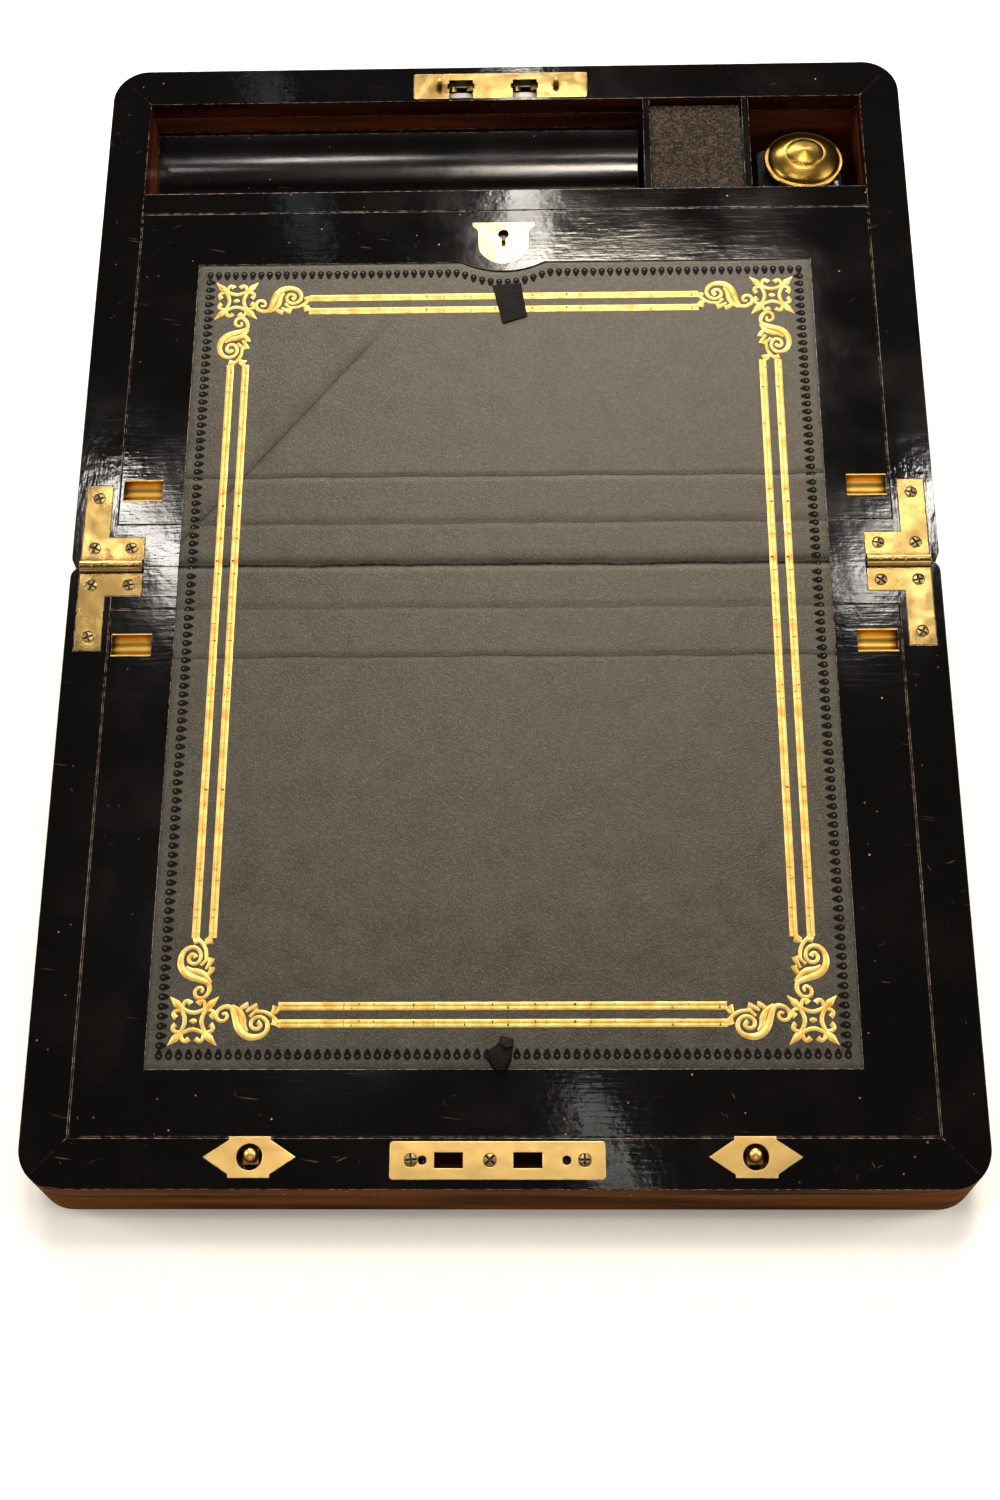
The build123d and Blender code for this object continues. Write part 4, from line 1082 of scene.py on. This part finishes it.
    def uv_rule(self, corner: Vector) -> Point2:
        """Along and across the nearest line; ornaments lie off the lines' middle."""
        half = (self.line + self.gap) / 2
        off_x = min((corner.x - edge - side for edge in self.lines_x for side in (-half, half)), key=abs)
        off_t = min((corner.y - edge - side for edge in self.lines_t for side in (-half, half)), key=abs)
        if self.knots_x[0] + self.line_start < corner.x < self.knots_x[1] - self.line_start:
            return corner.x * MM, off_t * MM
        if self.knots_t[0] + self.line_start < corner.y < self.knots_t[1] - self.line_start:
            return corner.y * MM, off_x * MM
        return corner.x * MM, (corner.y + 1000.0) * MM

    def build(self, skin: WritingSkin, finish: bpy.types.Material) -> None:
        """Makes the gilding, one piece for each piece of leather."""
        half = (self.line + self.gap) / 2
        level = (self.knots_x[0] + self.line_start, self.knots_x[1] - self.line_start)
        upright = (self.knots_t[0] + self.line_start, self.knots_t[1] - self.line_start)
        for zone, (start, end) in skin.zones().items():
            shape = bmesh.new()
            stretch = (max(start, upright[0]), min(end, upright[1]))
            for edge in self.lines_x:
                for side in (-half, half):
                    self.run(shape, skin, edge + side, stretch, False)
            for edge, knot in zip(self.lines_t, self.knots_t):
                if start <= edge < end:
                    for side in (-half, half):
                        self.run(shape, skin, edge + side, level, True)
                    for x in self.knots_x:
                        self.corner(shape, x, knot, skin)
            piece = finish_piece("gilding_" + zone, shape, [finish], SLOPE.placing, self.uv_rule)
            skin.carry(piece, zone)
            LOG.info("gilding %s: %d faces", zone, len(piece.data.polygons))


# ---- pull tabs -----------------------------------------------------------------------------
@dataclass
class PullTabs:
    """The leather pulls: a flat one on the far flap, and a folded one on the near flap."""

    flat_corners: tuple[Point2, ...] = ((-4.9, 134.3), (7.7, 135.5), (10.4, 118.5), (-0.3, 114.9))
    fold: tuple[Point3, ...] = (
        (-1.4, -198.2, 1.2),
        (3.9, -199.4, 1.8),
        (3.6, -204.6, 2.6),
        (1.2, -209.6, 0.9),
        (-2.4, -209.2, 0.7),
        (-6.2, -203.8, 1.0),
        (-5.4, -201.2, 1.2),
    )
    knuckle: tuple[Point3, ...] = (
        (-1.6, -198.6, 2.0),
        (-0.5, -195.4, 1.6),
        (4.4, -196.8, 1.4),
        (4.2, -200.2, 2.4),
        (1.4, -201.0, 3.2),
    )

    def flat(self, skin: WritingSkin, finish: bpy.types.Material) -> bpy.types.Object:
        """The flat pull, its surface puckered by age."""
        shape = bmesh.new()
        upper, under = slab(shape, (0, 1), (0, 1), (16, 22), -0.40, 0.16)
        far_left, far_right, near_right, near_left = (Vector(c) for c in self.flat_corners)
        for vert in upper + under:
            u, v = vert.co.x, vert.co.y
            near = near_left.lerp(near_right, u)
            far = far_left.lerp(far_right, u)
            spot = near.lerp(far, v)
            vert.co.x, vert.co.y = spot
        for vert in upper:
            pucker = noise.noise(Vector((vert.co.x / 2.1, vert.co.y / 1.1, 5.0)))
            vert.co.z += 0.12 * pucker
        rounded = [edge for edge in shape.edges if len(edge.link_faces) == 2 and edge.calc_face_angle(0) > 1.0]
        bmesh.ops.bevel(
            shape, geom=rounded, offset=0.15, segments=2, profile=0.5, affect="EDGES", material=-1
        )
        return finish_piece("pull_flat", shape, [finish], SLOPE.placing, flat_uv)

    def lump(self, shape: bmesh.types.BMesh, outline: Sequence[Point3], base: float, thick: float) -> None:
        """Adds one fold of the strap, its corners at their own heights."""
        ring = [shape.verts.new((x, t, base)) for x, t, _ in outline]
        face = shape.faces.new(ring)
        top = verts_of(bmesh.ops.extrude_face_region(shape, geom=[face]))
        heights = {(round(x, 3), round(t, 3)): rise for x, t, rise in outline}
        middle = Vector((sum(p[0] for p in outline), sum(p[1] for p in outline), 0)) / len(outline)
        for vert in top:
            rise = heights[(round(vert.co.x, 3), round(vert.co.y, 3))]
            vert.co.x += 0.12 * (middle.x - vert.co.x)
            vert.co.y += 0.12 * (middle.y - vert.co.y)
            vert.co.z = base + rise + thick
        edges = list({edge for vert in top for edge in vert.link_edges})
        bmesh.ops.bevel(
            shape, geom=edges, offset=0.35, segments=3, profile=0.5, affect="EDGES", material=-1
        )

    def folded(self, finish: bpy.types.Material, worn: bpy.types.Material) -> bpy.types.Object:
        """The folded pull."""
        shape = bmesh.new()
        self.lump(shape, self.fold, -0.10, 0.9)
        before = set(shape.faces)
        self.lump(shape, self.knuckle, 0.2, 0.8)
        for face in shape.faces:
            face.material_index = 0 if face in before else 1
        return finish_piece("pull_folded", shape, [finish, worn], SLOPE.placing, flat_uv, False)

    def build(self, skin: WritingSkin, finish: bpy.types.Material, worn: bpy.types.Material) -> None:
        """Makes both pulls."""
        flat = self.flat(skin, finish)
        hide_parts("upper_tab")
        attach(flat, "upper_flap")
        folded = self.folded(finish, worn)
        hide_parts("lower_tab")
        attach(folded, "lower_flap")
        LOG.info("pull tabs: flat and folded")


# ---- turned and filed fittings -------------------------------------------------------------
@dataclass
class Screws:
    """Countersunk brass screws with filed heads, standing for the frame's plain ones."""

    hinge: tuple[Point2, ...] = ((170.6, 31.5), (170.8, 8.4), (155.4, 8.4))
    plate_x: tuple[float, ...] = (-33.7, -4.4, 30.6)
    plate_t: float = 241.2
    top: float = -0.51
    head: float = 2.5
    shank: float = 1.3
    length: float = 9.0
    slot: float = 0.7
    slot_depth: float = 0.9

    def one(self) -> bpy.types.Mesh:
        """Makes one screw at the origin: a domed head with a crossed recess, and a tapering shank."""
        shape = bmesh.new()
        radii = {"radius1": self.shank, "radius2": self.head}
        bmesh.ops.create_cone(shape, cap_ends=True, segments=24, depth=self.head * 0.9, **radii)
        bmesh.ops.translate(shape, vec=(0, 0, -self.head * 0.45), verts=shape.verts)
        top_face = max(shape.faces, key=lambda face: face.calc_center_median().z)
        for share, lift in ((0.10, 0.14), (0.30, 0.14), (0.25, 0.06)):
            bmesh.ops.inset_region(
                shape, faces=[top_face], thickness=self.head * share, depth=lift, use_even_offset=True
            )
        for axis in ((1, 0, 0), (0, 1, 0)):
            for reach in (-1, 1):
                for edge in (self.slot / 2, self.slot / 2 + 0.08):
                    spot = Vector(axis) * reach * edge
                    geometry = shape.verts[:] + shape.edges[:] + shape.faces[:]
                    bmesh.ops.bisect_plane(shape, geom=geometry, plane_co=spot, plane_no=axis)
        for vert in shape.verts:
            across = min(abs(vert.co.x), abs(vert.co.y))
            if across < self.slot / 2 + 1e-4 and vert.co.z > -0.2 and vert.co.xy.length < self.head * 0.8:
                vert.co.z -= self.slot_depth
        radii = {"radius1": self.shank * 0.4, "radius2": self.shank}
        tail = bmesh.ops.create_cone(shape, cap_ends=True, segments=10, depth=self.length - self.head, **radii)
        bmesh.ops.translate(shape, vec=(0, 0, -(self.length + self.head) / 2 - 0.1), verts=verts_of(tail))
        mesh = bpy.data.meshes.new("screw")
        shape.to_mesh(mesh)
        shape.free()
        return mesh

    def build(self, finish: bpy.types.Material) -> None:
        """Makes the screws of both halves."""
        screw = self.one()
        for half, sign in (("base", 1), ("lid", -1)):
            shape = bmesh.new()
            spots = [(side * x, sign * t) for side in (-1, 1) for x, t in self.hinge]
            spots += [(x, sign * self.plate_t) for x in self.plate_x] if half == "lid" else []
            for number, (x, t) in enumerate(spots):
                before = set(shape.verts)
                shape.from_mesh(screw)
                added = [vert for vert in shape.verts if vert not in before]
                turn = Matrix.Rotation(0.35 + 2.4 * number * sign, 4, "Z")
                place = Matrix.Translation((x, t, self.top)) @ turn
                bmesh.ops.transform(shape, matrix=place, verts=added)
            piece = finish_piece(half + "_screw_heads", shape, [finish], SLOPE.placing)
            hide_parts(half + "_screws")
            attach(piece, half)
            LOG.info("%s screws: %d", half, len(spots))
        bpy.data.meshes.remove(screw)


@dataclass
class InkCap:
    """The turned brass cap of the ink bottle: flange, step, low dome with a fine ring, blunt point."""

    # (radius, height above the flange's underside)
    outline: tuple[Point2, ...] = (
        (0.0, 3.0),
        (12.6, 2.4),
        (13.4, 1.4),
        (13.4, 0.0),
        (17.4, 0.0),
        (18.1, 0.5),
        (18.2, 1.0),
        (18.1, 1.5),
        (17.5, 2.0),
        (16.6, 1.9),
        (16.1, 2.1),
        (15.7, 2.8),
        (14.6, 3.6),
        (12.6, 4.65),
        (10.4, 5.55),
        (8.75, 6.15),
        (8.5, 6.12),
        (8.3, 6.3),
        (6.0, 6.95),
        (3.6, 7.5),
        (2.0, 7.85),
        (0.9, 8.05),
        (0.4, 8.13),
        (0.0, 8.15),
    )
    turns: int = 72

    def build(self, finish: bpy.types.Material) -> None:
        """Makes the cap."""
        low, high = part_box("ink_cap")
        middle = (low + high) / 2
        shape = bmesh.new()
        ring = [shape.verts.new((radius, 0, height)) for radius, height in self.outline]
        edges = [shape.edges.new(pair) for pair in zip(ring, ring[1:])]
        bmesh.ops.spin(
            shape,
            geom=ring + edges,
            cent=(0, 0, 0),
            axis=(0, 0, 1),
            angle=2 * math.pi,
            steps=self.turns,
            use_merge=True,
        )
        bmesh.ops.remove_doubles(shape, verts=shape.verts, dist=0.001)
        placing = Matrix.Translation((middle.x, middle.y, low.z)) @ Matrix.Scale(MM, 4)
        cap = finish_piece("ink_cap_turned", shape, [finish], placing)
        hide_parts("ink_cap")
        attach(cap, "ink_cap")
        LOG.info("ink cap: %d faces", len(cap.data.polygons))


# ---- the CAD pieces' finishes --------------------------------------------------------------
@dataclass
class Dressing:
    """Which finish each piece of the frame wears."""

    black_tops: tuple[str, ...] = ("lid_rim_near", "base_rail", "lid_rail")
    black_top_sides: tuple[str, ...] = ("lid_rim_left", "lid_rim_right")
    base_back: tuple[str, ...] = ("base_rim_back",)
    base_sides: tuple[str, ...] = ("base_rim_left", "base_rim_right")
    black: tuple[str, ...] = ("upper_flap", "lower_flap", "crossbar", "dividers")
    brown_across: tuple[str, ...] = (
        "base_back_wall",
        "base_front_wall",
        "lid_seam_wall",
        "partition",
        "tool_floor",
        "base_bottom",
        "lid_bottom",
    )
    fronts: tuple[str, ...] = ("lid_near_wall",)
    sides: tuple[str, ...] = ("lid_left_wall", "lid_right_wall")
    brown_along: tuple[str, ...] = (
        "base_left_wall",
        "base_right_wall",
        "base_flap_ledges",
        "lid_flap_ledges",
    )
    brass: tuple[str, ...] = (
        "back_escutcheon",
        "base_hinge_left",
        "base_hinge_right",
        "lid_hinge_left",
        "lid_hinge_right",
        "lock_plate",
    )
    painted_light_near_brass: tuple[str, ...] = ("catch_bolt_left", "catch_bolt_right", "catch_plates", "lid_lock_plate")
    shield: tuple[str, ...] = ("flap_escutcheon",)
    trough: tuple[str, ...] = ("upper_troughs", "lower_troughs")
    turned: tuple[str, ...] = ("ink_cap", "ink_collar", "base_screws", "lid_screws")
    steel: tuple[str, ...] = (
        "catch_spring_left",
        "catch_spring_right",
        "flap_lock_bolt",
        "flap_lock_case",
        "hinge_pins",
        "lock_case",
    )
    hooks: tuple[str, ...] = ("lock_hook_left", "lock_hook_right")

    def wear(self, nodes: dict, names: Iterable[str], material: bpy.types.Material) -> None:
        """Gives one finish to several pieces."""
        for name in names:
            node = nodes[name]
            if not node.material_slots:
                node.data.materials.append(material)
            for slot in node.material_slots:
                slot.material = material

    def build(self, nodes: dict) -> None:
        """Dresses every piece of the frame."""
        self.wear(nodes, self.black_tops, EbonisedPolish("ebonised_over_brown_across", brown_sides=True).build())
        along = EbonisedPolish("ebonised_over_brown_along", brown_sides=True, grain=Grain.ALONG_Y)
        self.wear(nodes, self.black_top_sides, along.build())
        reddish = EbonisedPolish(
            "ebonised_over_mahogany", brown="1c0a05", lit_brown="3c190d", brown_sides=True
        )
        self.wear(nodes, self.base_back, reddish.build())
        along = replace(reddish, name="ebonised_over_mahogany_along", grain=Grain.ALONG_Y)
        self.wear(nodes, self.base_sides, along.build())
        self.wear(nodes, self.black, EbonisedPolish().build())
        self.wear(nodes, ("pen_tray",), EbonisedPolish("ebonised_rubbed_tray", gloss=0.19).build())
        self.wear(nodes, self.brown_across, MahoganyPolish().build())
        self.wear(nodes, self.brown_along, MahoganyPolish("polished_mahogany_along", grain=Grain.ALONG_Y).build())
        fruitwood = MahoganyPolish("worn_fruitwood", "2e1604", "6e3f0e", matt=0.93)
        self.wear(nodes, self.fronts, fruitwood.build())
        along = replace(fruitwood, name="worn_fruitwood_along", grain=Grain.ALONG_Y)
        self.wear(nodes, self.sides, along.build())
        self.wear(nodes, self.brass, WornBrass().build())
        # the near plates wear a paler, brighter copy of the brass: painted light, where the lamps give them
        # little
        pale = WornBrass("brass_with_painted_light", "efc87c", "7d5a20", 0.30, 0.46, 0.4)
        self.wear(nodes, self.painted_light_near_brass, pale.build())
        # the shield's brass is paler and less tarnished: partly its polish, partly painted light for the lamp's
        # reflection on it
        self.wear(nodes, self.shield, WornBrass("polished_brass_part_painted_light", "c8ab74", "7d5a20", spotting=0.15).build())
        self.wear(nodes, self.trough, WornBrass("deep_brass", "cfa24a", "6a4810", 0.34, 0.46, 0.3).build())
        self.wear(nodes, self.turned, WornBrass("turned_brass", "a98444", "5a3d18", 0.28, 0.40, 0.2).build())
        self.wear(nodes, self.steel, WornBrass("dull_steel", "8d8a84", "4a4038", 0.35, 0.5).build())
        self.wear(nodes, self.hooks, WornBrass("brown_brass", "b08a48", "4a2f10", 0.3, 0.45, 0.6).build())
        self.wear(nodes, ("ink_bottle",), BottleGlass().build())
        LOG.info("dressed %d pieces of the frame", len(nodes))


# ---- studio --------------------------------------------------------------------------------
@dataclass(frozen=True)
class Softbox:
    """One soft lamp: where it hangs, what it points at, its size and its strength."""

    name: str
    place: Point3
    aim: Point3
    size: Point2
    watts: float
    tint: str = "ffffff"

    def build(self) -> None:
        """Hangs the lamp."""
        lamp = bpy.data.lights.new(self.name, "AREA")
        lamp.shape = "RECTANGLE"
        lamp.size, lamp.size_y = self.size
        lamp.energy = self.watts
        lamp.color = linear(self.tint)[:3]
        holder = bpy.data.objects.new(self.name, lamp)
        holder.location = self.place
        toward = Vector(self.aim) - Vector(self.place)
        holder.rotation_euler = toward.to_track_quat("-Z", "Y").to_euler()
        bpy.context.scene.collection.objects.link(holder)


@dataclass
class Studio:
    """Floor, lamps and camera."""

    camera_place: Point3 = (0.014487, -0.408099, 0.655677)
    pitch_deg: float = 61.1702
    yaw_deg: float = 2.7092
    roll_deg: float = -2.6789
    focal_px: float = 1705.6
    image_height_px: float = 1500.0
    sensor: float = 36.0
    world_tint: str = "fff8ee"
    world_strength: float = 0.07
    lamps: tuple[Softbox, ...] = (
        Softbox("far", (0.0, 3.1, 2.1), (0, 0.1, 0), (3.0, 1.0), 140.0, "fffaf3"),
        Softbox("over_leather", (0.15, 0.70, 1.80), (0.02, 0.02, 0.08), (0.38, 0.38), 14.0, "fff2e0"),
        Softbox("left", (-2.6, 0.1, 1.6), (0, 0, 0), (1.2, 2.0), 62.0, "fff9f1"),
        Softbox("right", (2.6, 0.1, 1.6), (0, 0, 0), (1.2, 2.0), 66.0, "fff9f1"),
        Softbox("near", (0.2, -2.6, 1.5), (0, 0, 0), (2.0, 0.8), 16.0, "fff8f0"),
        Softbox("strip_far", (-0.005, 1.05, 1.80), (0.01, 0.17, 0.1), (0.06, 0.32), 1.1, "fffaf2"),
        Softbox("strip_tray", (-0.29, -0.05, 1.80), (-0.09, 0.2, 0.1), (0.22, 0.14), 3.0, "fffaf2"),
        Softbox("strip_tray_end", (0.14, -0.05, 1.80), (0.05, 0.2, 0.1), (0.12, 0.12), 1.0, "fffaf2"),
        Softbox("strip_rim", (-0.36, 1.10, 1.80), (-0.09, 0.2, 0.1), (0.05, 0.30), 0.025, "f4f4ff"),
        Softbox("strip_left", (-0.545, 0.50, 1.80), (-0.16, 0, 0.1), (0.05, 0.22), 1.0, "fffaf2"),
        Softbox("strip_right", (0.545, 0.50, 1.80), (0.16, 0, 0.1), (0.05, 0.22), 1.0, "fffaf2"),
        Softbox("strip_near", (0.109, -0.38, 1.80), (0.04, -0.23, 0), (0.04, 0.20), 0.08, "fffaf2"),
    )

    def floor(self) -> None:
        """Lays the paper floor."""
        shape = bmesh.new()
        bmesh.ops.create_grid(shape, x_segments=2, y_segments=2, size=6.0)
        paper = finish_piece("floor", shape, [StudioPaper().build()], Matrix.Identity(4))

    def camera(self) -> None:
        """Sets the camera at the photograph's viewing angle."""
        pitch, yaw, roll = (math.radians(a) for a in (self.pitch_deg, self.yaw_deg, self.roll_deg))
        about = Matrix.Rotation(yaw, 3, "Z")
        ahead = about @ Vector((0, math.cos(pitch), -math.sin(pitch)))
        up = about @ Vector((0, math.sin(pitch), math.cos(pitch)))
        right = about @ Vector((1, 0, 0))
        side = right * math.cos(roll) + up * math.sin(roll)
        top = up * math.cos(roll) - right * math.sin(roll)
        lens = bpy.data.cameras.new("photo_camera")
        lens.sensor_fit = "VERTICAL"
        lens.sensor_height = self.sensor
        lens.lens = self.focal_px / self.image_height_px * self.sensor
        lens.clip_start = 0.01
        lens.clip_end = 50.0
        holder = bpy.data.objects.new("photo_camera", lens)
        turn = Matrix((side, top, -ahead)).transposed().to_4x4()
        holder.matrix_world = Matrix.Translation(self.camera_place) @ turn
        bpy.context.scene.collection.objects.link(holder)
        bpy.context.scene.camera = holder

    def air(self) -> None:
        """Gives the room its soft light."""
        world = bpy.data.worlds.new("studio")
        world.use_nodes = True
        backdrop = world.node_tree.nodes["Background"]
        backdrop.inputs["Color"].default_value = linear(self.world_tint)
        backdrop.inputs["Strength"].default_value = self.world_strength
        bpy.context.scene.world = world
        bpy.context.scene.view_settings.view_transform = "Standard"

    def build(self) -> None:
        """Sets everything up."""
        self.camera()
        self.floor()
        self.air()
        for lamp in self.lamps:
            lamp.build()
        LOG.info("studio: %d lamps", len(self.lamps))


def main() -> None:
    """Builds the studio and every piece, in order."""
    logging.basicConfig(level=logging.INFO, format="%(message)s")
    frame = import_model()
    Studio().build()
    Dressing().build(frame["nodes"])
    skin = WritingSkin()
    # each fold's place, slant, line width, shade width and strength of its painted shade
    folds = [
        (crease.t * MM, 0.0, crease.width * 0.6 * MM, crease.soft * MM, crease.darkening)
        for crease in skin.creases
    ]
    # the long slanting crease on the far left, with the same painted shade
    folds.append((0.177, -1.23, 0.0010, 0.009, 0.6))
    leather = GoatLeather(creases_m=tuple(folds), imprint=True).build()
    hollow = GoatLeather(
        "pressed_leather", "030302", "050404", "080706", roughness=0.7, shine=0.12, depth=0.2
    ).build()
    bead = GoatLeather(
        "bead_leather", "14120f", "24211d", "3a362f", roughness=0.26, shine=0.6, depth=0.15
    ).build()
    skin.build(leather)
    BlindTooling().build(skin, bead, hollow)
    GiltBorder().build(skin, GoldLeaf().build())
    strap = GoatLeather(
        "black_strap_leather", "030302", "060504", "12100c", 700.0, 0.45, 0.10, 0.7
    ).build()
    worn = GoatLeather(
        "rubbed_strap_leather", "080503", "100a06", "22160c", 700.0, 0.5, 0.12, 0.8
    ).build()
    PullTabs().build(skin, strap, worn)
    Screws().build(WornBrass("screw_brass", "a69368", "33261a", 0.26, 0.40, 0.5).build())
    InkCap().build(WornBrass("cap_brass", "84692f", "4c3714", 0.24, 0.34, 0.3).build())
    frame["nodes"]["stamp_lid"].material_slots[0].material = GoatLeather(
        "stamp_lid_leather", "050302", "0c0805", "4a3a2c", 430.0, 0.5, 0.10, 0.8, printed=False
    ).build()


if __name__ == "__main__":
    main()
